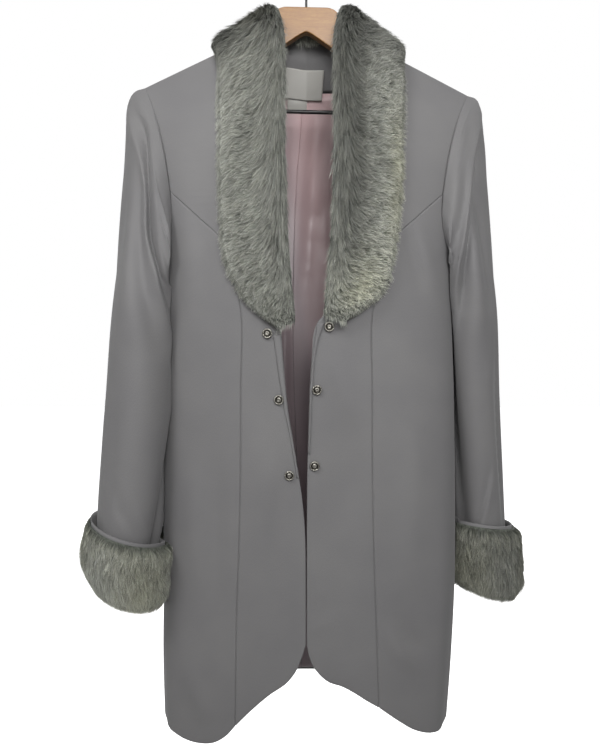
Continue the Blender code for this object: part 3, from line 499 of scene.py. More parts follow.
def ridge(x):
    """Drop of the shoulder line at a distance from the middle: a straight fall from the neck."""
    return ROOF_TOP + ROOF_SLOPE * np.abs(x)


def halves(side, drop):
    """Half width, front depth and back depth of the body at a drop, in metres, from the table of sections."""
    drops, right, left, front, back = np.transpose(BODY_ROWS)
    half = right if side == RIGHT else left
    return tuple(cubic(drops, column, drop / MM) * MM for column in (half, front, back))


def roof(fall):
    """Share of the full depth reached this far below the shoulder line: a rounded quarter, raised to a power."""
    t = np.clip(fall / ROOF_REACH, 0, 1)
    return (1 - (1 - t) ** 2) ** ROOF_ROUND


def lean(x, drop):
    """Drop that the hanger's lean adds at a signed X: full at the shoulders, gone at the underarm."""
    return LEAN * x * np.clip((LEAN_TO - drop) / (LEAN_TO - LEAN_FROM), 0, 1)


def fold_push(side, turn, drop):
    """Outward push of the long folds: bell curves across the turn that grow towards the hem."""
    push = np.zeros(np.broadcast(turn, drop).shape)
    for centre, lean_by, top, bottom, width, depth in FOLDS[side]:
        run = np.clip((drop / MM - top) / (bottom - top), 0, 1)
        push = push + depth * MM * run**1.2 * bell(np.degrees(turn), centre + lean_by * run, width)
    return push


def shell(side, turn, drop):
    """Point of the body: a superellipse section whose depth fades to nothing at the shoulder line, plus the folds."""
    half, front, back = halves(side, drop)
    c = np.cos(turn)
    s = np.sin(turn)
    reach = (np.abs(s) ** SECTION_POWER + np.abs(c) ** SECTION_POWER) ** (-1 / SECTION_POWER)
    x = half * reach * s
    depth = np.where(c > 0, front, back) * roof(drop - ridge(x))
    push = fold_push(side, turn, drop)
    x = x + push * s
    y = -depth * reach * c - push * c * np.minimum(1, depth / (20 * MM))
    return np.stack([side * x, y, -drop - lean(side * x, drop)], axis=-1)


def body(side, turn, drop, out=0.0):
    """Point of the body moved out along its normal, the cross product of small steps round and down."""
    point = shell(side, turn, drop)
    step = 1e-4
    around = shell(side, turn + step, drop) - shell(side, turn - step, drop)
    down = shell(side, turn, drop + step) - shell(side, turn, drop - step)
    normal = np.cross(around, down) * -side
    return point + normal * (out / np.linalg.norm(normal, axis=-1))[..., None]


def turn_at(side, x, drop, back=False):
    """Turn at which the body has this half width, from the superellipse solved for its angle."""
    q = np.clip(x / halves(side, drop)[0], 0, 1)
    turn = np.arctan2(q, (1 - q**SECTION_POWER) ** (1 / SECTION_POWER))
    return np.pi - turn if back else turn


def outline(side, path, back=False):
    """A path of (half width, drop) in mm as turns and drops."""
    x = path[:, 0] * MM
    drop = path[:, 1] * MM
    return np.stack([turn_at(side, x, drop, back), drop], axis=-1)


def patch(inner, outer, bottom, top, u, v):
    """Coons patch between four outlines: the two ruled surfaces added, less the one through the corners."""
    u = u[None, :, None]
    v = v[:, None, None]
    across = (1 - u) * inner[:, None] + u * outer[:, None]
    up = (1 - v) * bottom[None] + v * top[None]
    corners = (1 - u) * (1 - v) * bottom[0] + u * (1 - v) * bottom[-1]
    return across + up - corners - (1 - u) * v * top[0] - u * v * top[-1]


def eased(share, power):
    """Shares from 0 to 1, closer together towards 1."""
    return 1 - (1 - share) ** power


def edge_spaced(count):
    """Shares from 0 to 1, closer together at both ends, where seams and edges roll."""
    t = np.linspace(0, 1, count)
    return t - 0.143 * np.sin(2 * np.pi * t)


def rows_with_corner(low, high, corner):
    """Shares from 0 to 1 with one exactly at a corner of the outline, closer together there and at both ends."""
    return np.concatenate([edge_spaced(low) * corner, corner + edge_spaced(high)[1:] * (1 - corner)])


def split_rows(v, split, low_path, high_path, power):
    """Rows up one path until v reaches the split, then up the next, closer towards its end."""
    low = v <= split
    out = np.zeros((len(v), 2))
    out[low] = smooth_path(low_path, v[low] / split)
    out[~low] = smooth_path(high_path, eased((v[~low] - split) / (1 - split), power))
    return out


def side_path(at):
    """Side seam from the hem up to the underarm."""
    drop = HEM_AT_SIDE + (UNDERARM - HEM_AT_SIDE) * at
    return np.stack([np.full(len(at), np.pi / 2), drop * MM], axis=-1)


def arm_low(side, at, back=False):
    """Lower armhole from the princess seam, or the shoulder behind, ending in a curve into the underarm."""
    points = ARMHOLE_BACK if back else ARMHOLE_LOW
    share = ARM_SHARE[back]
    first = at <= share
    out = np.zeros((len(at), 2))
    out[first] = outline(side, smooth_path(points, at[first] / share), back)
    last = outline(side, np.array([points[-1]], float), back)[0]
    end = np.array([np.pi / 2, UNDERARM * MM])
    t = ((at[~first] - share) / (1 - share))[:, None]
    out[~first] = last + (end - last) * np.concatenate([t, t * (2 - t)], axis=1)
    return out


def front_panel(side, u, v):
    """Centre front as turns and drops: front edge and roll line, princess seam and armhole, shoulder, hem."""
    inner = outline(side, split_rows(v, FRONT_SPLIT, FRONT_EDGE[side] + ROLL_LOW, ROLL_HIGH, FRONT_CROWD))
    seam = (PRINCESS_END[side],) + PRINCESS[::-1]
    outer = outline(side, split_rows(v, FRONT_SPLIT, seam, ARMHOLE_HIGH[::-1], FRONT_CROWD))
    bottom = outline(side, smooth_path(HEM_FRONT[side], u))
    top = outline(side, smooth_path((ROLL_HIGH[-1], ARMHOLE_HIGH[0]), u))
    return patch(inner, outer, bottom, top, u, v)


def side_panel(side, u, v):
    """Side front as turns and drops: princess seam, side seam, lower armhole, hem."""
    hem = outline(side, smooth_path(HEM_SIDE[side], np.clip(u / HEM_SIDE_SHARE, 0, 1)))
    tail = np.clip((u - HEM_SIDE_SHARE) / (1 - HEM_SIDE_SHARE), 0, 1)
    hem[:, 0] += (np.pi / 2 - hem[:, 0]) * tail
    hem[:, 1] += (HEM_AT_SIDE * MM - hem[:, 1]) * tail
    inner = outline(side, smooth_path((PRINCESS_END[side],) + PRINCESS[::-1], v))
    return patch(inner, side_path(v), hem, arm_low(side, u), u, v)


def back_panel(side, u, v):
    """Half of the back as turns and drops: centre line, side seam and armhole, neck and shoulder, hem."""
    low = v <= BACK_SPLIT
    rise = eased((v - BACK_SPLIT) / (1 - BACK_SPLIT), BACK_CROWD)
    high = UNDERARM + (BACK_NECK[0][1] - UNDERARM) * np.where(low, 0, rise)
    drop = np.where(low, HEM_BACK + (UNDERARM - HEM_BACK) * v / BACK_SPLIT, high) * MM
    inner = np.stack([np.full(len(v), np.pi), drop], axis=-1)
    outer = np.zeros((len(v), 2))
    outer[low] = side_path(v[low] / BACK_SPLIT)
    outer[~low] = arm_low(side, 1 - rise[~low], True)
    hem = HEM_BACK + (HEM_AT_SIDE - HEM_BACK) * u**2
    bottom = np.stack([np.pi - np.pi / 2 * u, hem * MM], axis=-1)
    top = outline(side, joined_path((BACK_NECK, (BACK_NECK[-1], ARMHOLE_BACK[0])), u), True)
    return patch(inner, outer, bottom, top, u, v)


def crease_field(rows, p, q, q_size=1.0):
    """Sum of creases: each a bell curve across a curved line through three points, fading at both ends.

    The distance is measured to points along the line, in units of p, of which one of q is q_size.
    """
    total = np.zeros(p.shape)
    t = np.linspace(0, 1, 25)
    for p0, q0, p1, q1, p2, q2, width, depth in rows:
        path_p = (1 - t) * (1 - 2 * t) * p0 + 4 * t * (1 - t) * p1 + t * (2 * t - 1) * p2
        path_q = (1 - t) * (1 - 2 * t) * q0 + 4 * t * (1 - t) * q1 + t * (2 * t - 1) * q2
        far = (p[..., None] - path_p) ** 2 + ((q[..., None] - path_q) * q_size) ** 2
        fade = np.sin(np.pi * np.clip(t[far.argmin(axis=-1)], 0.02, 0.98)) ** 0.7
        total += depth * MM * fade * np.exp(-far.min(axis=-1) / width**2)
    return total


def pleat_field(side, place, share):
    """Sum of sharp folds: a step is an odd curve of the signed distance from a line, a ridge a sharp even one.

    Both fade over their reach and towards both ends of the line.
    """
    total = np.zeros(np.broadcast(place, share).shape)
    t = np.linspace(0, 1, 60)
    for kind, points, reach, depth in SLEEVE_PLEATS[side]:
        path = smooth_path(np.array(points) * (SLEEVE_ROUND, SLEEVE_LONG), t)
        way = np.gradient(path, axis=0)
        off_p = (place * SLEEVE_ROUND)[..., None] - path[:, 0]
        off_q = (share * SLEEVE_LONG)[..., None] - path[:, 1]
        far = off_p**2 + off_q**2
        near = far.argmin(axis=-1)
        pick = near[..., None]
        off_p = np.take_along_axis(off_p, pick, -1)[..., 0]
        off_q = np.take_along_axis(off_q, pick, -1)[..., 0]
        across = (off_p * way[near, 1] - off_q * way[near, 0]) / np.linalg.norm(way, axis=1)[near]
        fade = np.sin(np.pi * np.clip(t[near], 0.02, 0.98)) ** 0.6
        close = np.exp(-far.min(axis=-1) / (reach * MM) ** 2)
        if kind == "step":
            shape = -1.3 * np.tanh(across / (0.2 * reach * MM)) * close
        else:
            shape = np.exp(-np.sqrt(across**2 + (1.2 * MM) ** 2) / (0.5 * reach * MM)) * close
        total += depth * MM * fade * shape
    return total


def arc(points, axis):
    """Running length of a grid of points along one of its axes."""
    steps = np.linalg.norm(np.diff(points, axis=axis), axis=-1)
    pad = np.zeros_like(np.take(steps, [0], axis=axis))
    return np.concatenate([pad, np.cumsum(steps, axis=axis)], axis=axis)


def rolled(points, edges, depth, width):
    """Inward roll beside the named edges of a grid: a bell curve of the distance from each edge."""
    across = arc(points, 1)
    up = arc(points, 0)
    far = {"left": across, "right": across[:, -1:] - across, "low": up, "high": up[-1:] - up}
    roll = np.zeros(points.shape[:2])
    for edge in edges:
        roll = np.maximum(roll, bell(far[edge], 0, width))
    return -depth * roll


def panel_points(side, grid, face, seams, edges):
    """A panel's points: the body's form with its placed creases, rolled into its seams and over its free edges."""
    turn, drop = grid[..., 0], grid[..., 1]
    flat = body(side, turn, drop)
    out = crease_field(CREASES[side, face], np.abs(flat[..., 0]) / MM, drop / MM)
    out = out + rolled(flat, seams, *SEAM_ROLL)
    out = out + rolled(flat, edges, *EDGE_ROLL)
    return body(side, turn, drop, out)


def armhole_loop(side, count):
    """Armhole from the shoulder down the front, round the underarm and up the back, and each point's share."""
    high = eased(np.linspace(1, 0, count)[:-1], FRONT_CROWD)
    front = outline(side, smooth_path(ARMHOLE_HIGH[::-1], high))
    low = arm_low(side, np.linspace(0, 1, count))
    behind = arm_low(side, 1 - eased(np.linspace(0, 1, count + 10)[1:-1], BACK_CROWD), True)
    turns = np.concatenate([front, low, behind])
    points = body(side, turns[:, 0], turns[:, 1])
    run = lengths_along(points)
    under = len(front) + len(low) - 1
    end = run[-1] + np.linalg.norm(points[-1] - points[0])
    share = np.where(run <= run[under], run / run[under], 1 + (run - run[under]) / (end - run[under])) / 2
    return points, share


def clear_of_body(side, points, gap):
    """Points inside the body's section, widened by a gap, pushed straight out to its edge."""
    drop = -points[..., 2]
    half, front, back = halves(side, drop)
    x = np.abs(points[..., 0])
    y = points[..., 1]
    push = np.maximum(fold_push(side, np.arctan2(x / half, -y / front), drop), 0)
    depth = np.where(y < 0, front, back) + gap + push
    level = (x / (half + gap + push)) ** SECTION_POWER + (np.abs(y) / depth) ** SECTION_POWER
    inside = (level < 1) & (drop > UNDERARM * MM)
    grow = np.where(inside, np.maximum(level, 1e-6) ** (-1 / SECTION_POWER), 1.0)
    return points * np.stack([grow, grow, np.ones_like(grow)], axis=-1)


def sleeve_clear(side, points):
    """Sleeve points pushed clear of the body, by more where the cuff needs room."""
    start, end = WRIST[side]
    low = np.clip((-points[..., 2] - start) / (end - start), 0, 1)
    return clear_of_body(side, points, SLEEVE_CLEAR + (WRIST_CLEAR - SLEEVE_CLEAR) * low)


def sleeve_oval(side, drop, place, wider=0.0):
    """Oval of the sleeve at a drop, place running once round from the outer side by the front."""
    drops, *columns = np.transpose(SLEEVE_ROWS[side])
    x, y, wide, deep = (cubic(drops, column, drop / MM) * MM for column in columns)
    angle = 2 * np.pi * place
    px = x + (wide + wider) * np.cos(angle)
    py = y - (deep + wider) * np.sin(angle)
    return np.stack([side * px, py, -drop + 0 * px], axis=-1)


def sleeve_points(side, rows, count):
    """Sleeve: cubic curves down the arm through the armhole, a rounded head and ovals, with folds pushed along
    the line away from the sleeve's own middle."""
    start, place = armhole_loop(side, count)
    start[:, 0] += side * SLEEVE_GAP
    out = start - start.mean(axis=0)
    out[:, 0] = 0
    out = unit(out)
    top = ((1 + np.cos(2 * np.pi * place)) / 2)[:, None]
    low = 1 - top
    head = start + out * (SLEEVE_PUFF * np.array([1, 1, 0]) + top * SLEEVE_PUFF * np.array([0, 0, 1]))
    head = head + top * np.array([side * SLEEVE_HEAD, 0, -HEAD_FALL])
    head = head + low * np.array([side * UNDERARM_EASE, 0, -UNDERARM_FALL])
    head[:, 1] += FRONT_EASE * np.where(out[:, 1] < 0, out[:, 1], 0) * low[:, 0] * 2
    lap = bell(place, *OVERLAP_PLACE)
    head += OVERLAP[side] * lap[:, None] * np.array([-side * 0.7, -0.75, -0.5])
    rings = [start, clear_of_body(side, head, SLEEVE_CLEAR)]
    for row in SLEEVE_ROWS[side]:
        rings.append(sleeve_clear(side, sleeve_oval(side, row[0] * MM, place)))
    rings.insert(2, rings[1] + (rings[2] - rings[1]) * SLEEVE_UPPER)
    rings = np.array(rings)
    at = np.linspace(0, 1, rows) ** 1.4
    flat = rings.reshape(len(SLEEVE_KNOTS), -1)
    grid = np.stack([cubic(SLEEVE_KNOTS, column, at) for column in flat.T], axis=-1).reshape(rows, -1, 3)
    away = grid - grid.mean(axis=1, keepdims=True)
    away[..., 2] = 0
    away = unit(away)
    push = np.zeros(grid.shape[:2])
    for first, last, high, foot, width, depth in SLEEVE_FOLDS[side]:
        run = (at - high) / (foot - high)
        centre = first + (last - first) * run
        fade = np.where((run > 0) & (run < 1), np.sin(np.pi * np.clip(run, 0, 1)) ** 0.7, 0)
        off = (place[None, :] - centre[:, None] + 0.5) % 1 - 0.5
        push += depth * MM * fade[:, None] * bell(off, 0, width)
    share, place = np.meshgrid(at, place, indexing="ij")
    push += crease_field(SLEEVE_CREASES[side], place, share, 2.0)
    push += pleat_field(side, place, share)
    push += rolled(grid, ("low",), *SLEEVE_ROLL)
    grid = grid + away * push[..., None]
    return sleeve_clear(side, grid)


def grid_faces(rows, columns, ring=False):
    """Four-cornered faces of a grid of points, joined round when it is a ring."""
    index = np.arange(rows * columns).reshape(rows, columns)
    if ring:
        index = np.concatenate([index, index[:, :1]], axis=1)
    corners = (index[:-1, :-1], index[:-1, 1:], index[1:, 1:], index[1:, :-1])
    return np.stack(corners, axis=-1).reshape(-1, 4)


def finish_piece(name, mesh, material):
    """An object for a mesh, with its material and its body."""
    mesh.materials.append(material)
    piece = bpy.data.objects.new(name, mesh)
    bpy.context.scene.collection.objects.link(piece)
    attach(piece, "root")
    return piece


def add_piece(name, points, faces, material, values=None, uv=None):
    """Smooth mesh piece from points and equal-sized faces, with named values at its points."""
    mesh = bpy.data.meshes.new(name)
    size = faces.shape[1]
    mesh.vertices.add(len(points))
    mesh.vertices.foreach_set("co", np.ascontiguousarray(points, np.float32).ravel())
    mesh.loops.add(faces.size)
    mesh.loops.foreach_set("vertex_index", np.ascontiguousarray(faces, np.int32).ravel())
    mesh.polygons.add(len(faces))
    mesh.polygons.foreach_set("loop_start", np.arange(0, faces.size, size, dtype=np.int32))
    mesh.polygons.foreach_set("use_smooth", np.ones(len(faces), bool))
    for key, value in (values or {}).items():
        layer = mesh.attributes.new(key, "FLOAT", "POINT")
        layer.data.foreach_set("value", np.ascontiguousarray(value, np.float32).ravel())
    if uv is not None:
        layer = mesh.uv_layers.new(name="cloth")
        layer.data.foreach_set("uv", np.ascontiguousarray(uv[faces.ravel()], np.float32).ravel())
    mesh.update()
    mesh.validate()
    return finish_piece(name, mesh, material)


def turned_out(points, faces):
    """Faces of a closed body turned outwards, by the sign of the volume that they enclose."""
    a, b, c = (points[faces[:, i]] for i in range(3))
    return faces[:, ::-1] if (np.cross(a, b) * c).sum() < 0 else faces


def close_poles(piece):
    """Joins the points that meet where a round body closes."""
    piece.modifiers.new("poles", "WELD").merge_threshold = 1e-5


def faced(points, faces, outward):
    """Faces turned so that their sum agrees with the outward direction given for their middles."""
    a, b, c, d = (points[faces[:, i]] for i in range(4))
    if (np.cross(c - a, d - b) * outward((a + c) / 2)).sum() < 0:
        return faces[:, ::-1]
    return faces


def from_axis(points):
    """Direction away from the vertical through the origin."""
    return points * np.array([1, 1, 0])


def to_front(points):
    """Direction towards the front of the coat, for any points."""
    return np.array([0.0, -1.0, 0.0])


def to_back(points):
    """Direction towards the back of the coat, for any points."""
    return -to_front(points)


def cloth_piece(name, grid, thick, material, outward, node, ring=False):
    """A sheet of cloth in place of a solid: a grid of points with a map of its own lengths, thickened inwards."""
    points = grid.reshape(-1, 3)
    faces = faced(points, grid_faces(*grid.shape[:2], ring), outward)
    across = arc(grid, 1)
    up = arc(grid, 0)
    uv = np.stack([across - across.mean(axis=1, keepdims=True), up], axis=-1).reshape(-1, 2)
    piece = add_piece(name, points, faces, material, uv=uv)
    wall = piece.modifiers.new("wall", "SOLIDIFY")
    wall.thickness = thick
    wall.offset = -1
    wall.use_rim = True
    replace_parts(piece, node)
    return piece


def linear(code):
    """sRGB hex colour as linear red, green, blue and a full alpha."""
    value = np.array([int(code[i : i + 2], 16) for i in (1, 3, 5)]) / 255
    value = np.where(value <= 0.04045, value / 12.92, ((value + 0.055) / 1.055) ** 2.4)
    return (*value, 1.0)


def feed(tree, socket, value):
    """Links an output to a socket, or sets the socket's plain value."""
    if isinstance(value, bpy.types.NodeSocket):
        tree.links.new(value, socket)
    else:
        socket.default_value = value


def add(tree, kind, inputs=(), ramp=(), **settings):
    """Adds a shader node: its settings, its colour stops, and each input's value or link."""
    made = tree.nodes.new("ShaderNode" + kind)
    for key, value in settings.items():
        setattr(made, key, value)
    if ramp:
        stops = made.color_ramp.elements
        while len(stops) < len(ramp):
            stops.new(0.5)
        for stop, (place, code) in zip(stops, ramp):
            stop.position = place
            stop.color = linear(code)
    for key, value in dict(inputs).items():
        feed(tree, made.inputs[key], value)
    return made


def new_material(name):
    """Empty node material and its Principled shader, joined to the output."""
    material = bpy.data.materials.new(name)
    material.use_nodes = True
    tree = material.node_tree
    tree.nodes.clear()
    shader = add(tree, "BsdfPrincipled")
    add(tree, "OutputMaterial", {"Surface": shader.outputs["BSDF"]})
    return material, tree, shader


def fill(tree, shader, **values):
    """Feeds the shader's sockets by name, with _ for a space."""
    for key, value in values.items():
        feed(tree, shader.inputs[key.replace("_", " ")], value)


def own_map(tree):
    """The cloth's own map of lengths, in metres."""
    return add(tree, "UVMap", uv_map="cloth").outputs["UV"]


def in_space(tree):
    """Place in the part's own space, in metres."""
    return add(tree, "TexCoord").outputs["Object"]


def stored(tree, name):
    """Value stored at the piece's points."""
    return add(tree, "Attribute", attribute_name=name).outputs["Fac"]


def noise(tree, vector, scale, detail, **more):
    """Noise whose lumps are about one over the scale, in metres."""
    return add(tree, "TexNoise", {"Vector": vector, "Scale": scale, "Detail": detail, **more}).outputs["Fac"]


def tones(tree, value, *stops):
    """Colour of a value between the given stops."""
    return add(tree, "ValToRGB", {"Fac": value}, ramp=stops).outputs["Color"]


def blend(tree, share, one, two, way="MIX"):
    """Two colours mixed, or multiplied, by a share."""
    return add(tree, "MixRGB", {"Fac": share, "Color1": one, "Color2": two}, blend_type=way).outputs["Color"]


def ranged(tree, value, low, high, start=0.0, end=1.0):
    """A value's run from start to end turned into one from low to high, held beyond both."""
    limits = {"From Min": start, "From Max": end, "To Min": low, "To Max": high}
    return add(tree, "MapRange", {"Value": value, **limits}).outputs["Result"]


def relief(tree, height, strength, distance):
    """Normal of a fine relief of this height in metres."""
    return add(tree, "Bump", {"Height": height, "Strength": strength, "Distance": distance}).outputs["Normal"]


def stretched(tree, vector, scale, turn=0.0):
    """A vector scaled along its axes and turned in its plane."""
    return add(tree, "Mapping", {"Vector": vector, "Rotation": (0, 0, turn), "Scale": scale}).outputs["Vector"]


def wool_twill():
    """Smooth worsted wool twill: a matt mid grey, a soft nap that lightens at grazing angles, hardly any pattern.

    Real twill ribs are about 0.5 mm apart; their slanting streaks are drawn 1.6 mm long so that they just show.
    """
    material, tree, shader = new_material("smooth grey wool twill")
    ribs = noise(tree, stretched(tree, own_map(tree), (1.0, 0.35, 1.0), np.radians(58)), 1800.0, 2.0)
    cloud = noise(tree, in_space(tree), 14.0, 3.0)
    tone = tones(tree, cloud, (0.3, "#747374"), (0.7, "#7a7979"))
    rib_tone = tones(tree, ribs, (0.3, "#e9e9e9"), (0.7, "#ffffff"))
    fill(tree, shader, Base_Color=blend(tree, 1.0, tone, rib_tone, "MULTIPLY"), Roughness=0.62,
         Specular_IOR_Level=0.3, Sheen_Weight=0.15, Sheen_Roughness=0.45, Normal=relief(tree, ribs, 0.10, 0.0004))
    return material


def fur_hair():
    """Dyed sheared fur hair: sage grey, some locks yellowed; dark root partly painted shade, pale tip partly painted
    light.
    """
    material, tree, shader = new_material("sage fur hair")
    along = stored(tree, "along")
    cool = tones(tree, along, (0.0, "#434541"), (0.35, "#777a73"), (0.7, "#9a9c95"), (1.0, "#c9cac1"))
    gold = tones(tree, along, (0.0, "#48483b"), (0.35, "#7f8168"), (0.7, "#a5a487"), (1.0, "#cfcdb0"))
    mixed = blend(tree, stored(tree, "warm"), cool, gold)
    # The stored tone scales the colour: random tone times painted shade and light.
    shade = add(tree, "HueSaturation", {"Value": stored(tree, "tone"), "Color": mixed}).outputs["Color"]
    fill(tree, shader, Base_Color=shade, Roughness=0.55, Specular_IOR_Level=0.35)
    return material


def underfur():
    """Dense underfur between the hairs: dark sage, rough, mottled at the size of a lock."""
    material, tree, shader = new_material("dark sage underfur")
    locks = noise(tree, in_space(tree), 260.0, 4.0)
    tone = tones(tree, locks, (0.3, "#3d403a"), (0.7, "#64685f"))
    fill(tree, shader, Base_Color=tone, Roughness=0.9, Normal=relief(tree, locks, 0.8, 0.002))
    return material


def pink_satin():
    """Dusty pink acetate satin: smooth, long floats that shine across the thread, faint streaks down the length.

    Painted shadow greys it downwards and towards the wearer's right, and once more below the waist.
    """
    material, tree, shader = new_material("dusty pink lining satin")
    stretch = stretched(tree, own_map(tree), (1.0, 0.03, 1.0))
    floats = noise(tree, stretch, 900.0, 2.0)
    streak = noise(tree, stretch, 60.0, 2.0)
    tone = tones(tree, streak, (0.3, "#cbadae"), (0.7, "#d4b7b8"))
    place = add(tree, "SeparateXYZ", {"Vector": in_space(tree)}).outputs
    # Painted shadow: grey mauve that comes in higher towards the wearer's right, then a darker grey below the waist.
    painted_shadow_level = add(tree, "Math", {0: place["X"], 1: 6.5, 2: place["Z"]}, operation="MULTIPLY_ADD").outputs["Value"]
    tone = blend(tree, ranged(tree, painted_shadow_level, 0.0, 0.85, -0.20, -0.50), tone, linear("#8b7f83"))
    tone = blend(tree, ranged(tree, place["Z"], 0.0, 0.4, -0.46, -0.54), tone, linear("#5c5257"))
    fill(tree, shader, Base_Color=tone, Roughness=0.36, Specular_IOR_Level=0.55, Sheen_Weight=0.3,
         Sheen_Roughness=0.3, Normal=relief(tree, floats, 0.08, 0.0003))
    return material


def label_satin():
    """Blank woven satin ribbon: off white, a tight weave of 0.4 mm threads, drawn at 1.2 mm so that it shows."""
    material, tree, shader = new_material("white label satin")
    warp = add(tree, "TexWave", {"Vector": own_map(tree), "Scale": 0.314 / 0.0012}, bands_direction="X").outputs["Fac"]
    tone = tones(tree, warp, (0.2, "#a5a39e"), (0.8, "#b0aea8"))
    fill(tree, shader, Base_Color=tone, Roughness=0.35, Normal=relief(tree, warp, 0.1, 0.0002))
    return material


def silvered_metal():
    """Cast and silver-plated button metal: bright on the high parts, tarnished in the hollows."""
    material, tree, shader = new_material("worn silvered brass")
    wear = noise(tree, in_space(tree), 520.0, 3.0)
    plate = tones(tree, wear, (0.35, "#77736b"), (0.65, "#c6c3ba"))
    tone = blend(tree, stored(tree, "hollow"), plate, linear("#2b2925"))
    fill(tree, shader, Base_Color=tone, Metallic=1.0, Roughness=ranged(tree, wear, 0.26, 0.46))
    return material


def lacquered_beech():
    """Clear-lacquered beech: pale tan, long grain lines 3 mm apart with short darker flecks."""
    material, tree, shader = new_material("lacquered beech")
    grain_space = stretched(tree, in_space(tree), (0.12, 1.0, 1.0))
    grain = noise(tree, grain_space, 330.0, 4.0, Distortion=0.4)
    fleck = noise(tree, grain_space, 1500.0, 1.0)
    tone = tones(tree, grain, (0.25, "#865a1e"), (0.55, "#916425"), (0.8, "#9b6e2e"))
    flecks = tones(tree, fleck, (0.3, "#e2d2bf"), (0.5, "#ffffff"))
    fill(tree, shader, Base_Color=blend(tree, 0.6, tone, flecks, "MULTIPLY"), Roughness=0.42, Coat_Weight=0.3,
         Coat_Roughness=0.25)
    return material


def black_wire():
    """Black enamelled steel wire: near black, low gloss, slightly uneven coat."""
    material, tree, shader = new_material("black enamelled wire")
    coat = noise(tree, in_space(tree), 500.0, 2.0)
    fill(tree, shader, Base_Color=linear("#1c1b1b"), Roughness=ranged(tree, coat, 0.3, 0.5))
    return material


def sample(grid, a, s, ring=False):
    """Value of a regular grid at shares a and s of its two axes, by weighing its four nearest points."""
    rows, columns = grid.shape[:2]
    a = a % 1 * rows if ring else np.clip(a, 0, 1) * (rows - 1)
    s = np.clip(s, 0, 1) * (columns - 1)
    i = np.clip(a.astype(int), 0, rows - 1 if ring else rows - 2)
    j = np.clip(s.astype(int), 0, columns - 2)
    fa = a - i
    fs = s - j
    if grid.ndim == 3:
        fa = fa[:, None]
        fs = fs[:, None]
    k = (i + 1) % rows
    low = grid[i, j] * (1 - fs) + grid[i, j + 1] * fs
    high = grid[k, j] * (1 - fs) + grid[k, j + 1] * fs
    return low * (1 - fa) + high * fa


def inside_coat(points, gap):
    """Whether points lie within the body widened by a gap."""
    x, y, z = np.moveaxis(points, -1, 0)
    drop = -z - lean(x, -z)
    side_half = np.where(x < 0, halves(RIGHT, drop)[0], halves(LEFT, drop)[0])
    _, front, back = halves(LEFT, drop)
    fall = drop - ridge(x) + gap
    flat = (1 - np.clip(np.abs(x) / side_half, 0, 0.999) ** SECTION_POWER) ** (1 / SECTION_POWER)
    depth = np.where(y < 0, front, back) * roof(fall) * flat + gap
    return (fall > 0) & (np.abs(y) < depth)


def collar_form(side, steps, across):
    """Skin of the collar, its outward direction and the fur's height: ruled sections from inner to outer edge,
    lifted clear of the coat, with a height that rounds down to both edges."""
    at = np.linspace(0, 1, steps)
    keys = np.linspace(0, 1, len(COLLAR_ROWS))
    in_x, in_y, in_drop, out_x, out_y, out_drop, fur = (cubic(keys, c, at) * MM for c in np.transpose(COLLAR_ROWS))
    low = COLLAR_DROP[side] * np.clip((at - 0.5) * 3, 0, 1)
    shift = COLLAR_SHIFT * np.clip(at * 5, 0, 1)
    start = SEAM / 2 * np.clip(1 - at * 8, 0, 1)
    in_x = side * (in_x + start) + shift * 0.5
    narrow = cubic(*np.transpose(COLLAR_NARROW[side]), at) * MM
    out_x = side * (out_x - narrow + start) + shift
    inner = np.stack([in_x, in_y, -in_drop - low], axis=-1)
    outer = np.stack([out_x, out_y, -out_drop - low], axis=-1)
    along = np.gradient((inner + outer) / 2, axis=0)
    along[0] = (side, 0, 0)
    normal = unit(np.cross(along, outer - inner) * side)
    s = np.linspace(0, 1, across)[None, :, None]
    skin = inner[:, None] + (outer - inner)[:, None] * s
    lift = np.broadcast_to(normal[:, None], skin.shape)
    gap = UNDER + UNDER_SHOULDER * bell(at, 0.28, 0.1)[:, None]
    for _ in range(130):
        skin = skin + lift * (0.5 * MM * inside_coat(skin, gap))[..., None]
    round_top = (1 - np.abs(2 * s[..., 0] - 1) ** FUR_ROUND) ** (1 / FUR_ROUND)
    height = FUR_LEAST + (fur[:, None] - FUR_LEAST) * round_top
    a0, a_wide, s0, s_wide = COLLAR_LOFT_AT
    loft = COLLAR_LOFT[side] * bell(at[:, None], a0, a_wide) * bell(s[..., 0], s0, s_wide)
    return skin, lift, height + loft


def cuff_ring(side, place, share, gap):
    """Points round the sleeve end at shares of the cuff's height, a gap outside the flared band."""
    tall = CUFF_TALL[side] + CUFF_TILT[side] * np.cos(2 * np.pi * place)
    drop = CUFF_FOOT[side] - CUFF_SLANT[side] * np.cos(2 * np.pi * place) - tall * share
    drop = drop - CUFF_FRONT[side] * np.sin(2 * np.pi * place) * np.clip(share, 0, 1)
    return sleeve_oval(side, drop, place, gap + CUFF_EASE + CUFF_FLARE * np.maximum(share, 0) ** 1.5)


def cuff_form(side, steps, across):
    """Skin of a cuff, its outward direction and the fur's height, from the foot up to the rim."""
    place = (np.arange(steps) / steps)[:, None]
    share = np.linspace(-0.03, 1.0, across)[None, :]
    skin = cuff_ring(side, place, share, CUFF_BAND + 0.5 * MM)
    lift = unit(cuff_ring(side, place, share, CUFF_BAND + 1.5 * MM) - skin)
    height = cubic(*np.transpose(CUFF_FUR), share + 0 * place) * MM
    outer = np.clip(np.cos(2 * np.pi * (place - 0.04)), 0, 1)
    foot = CUFF_THIN[side] * bell(np.maximum(share, 0), 0, CUFF_THIN_FOOT)
    rim = CUFF_THIN_TOP[side] * np.clip((share - 0.4) / 0.4, 0, 1)
    return skin, lift, height * (1 - outer * (foot + rim))


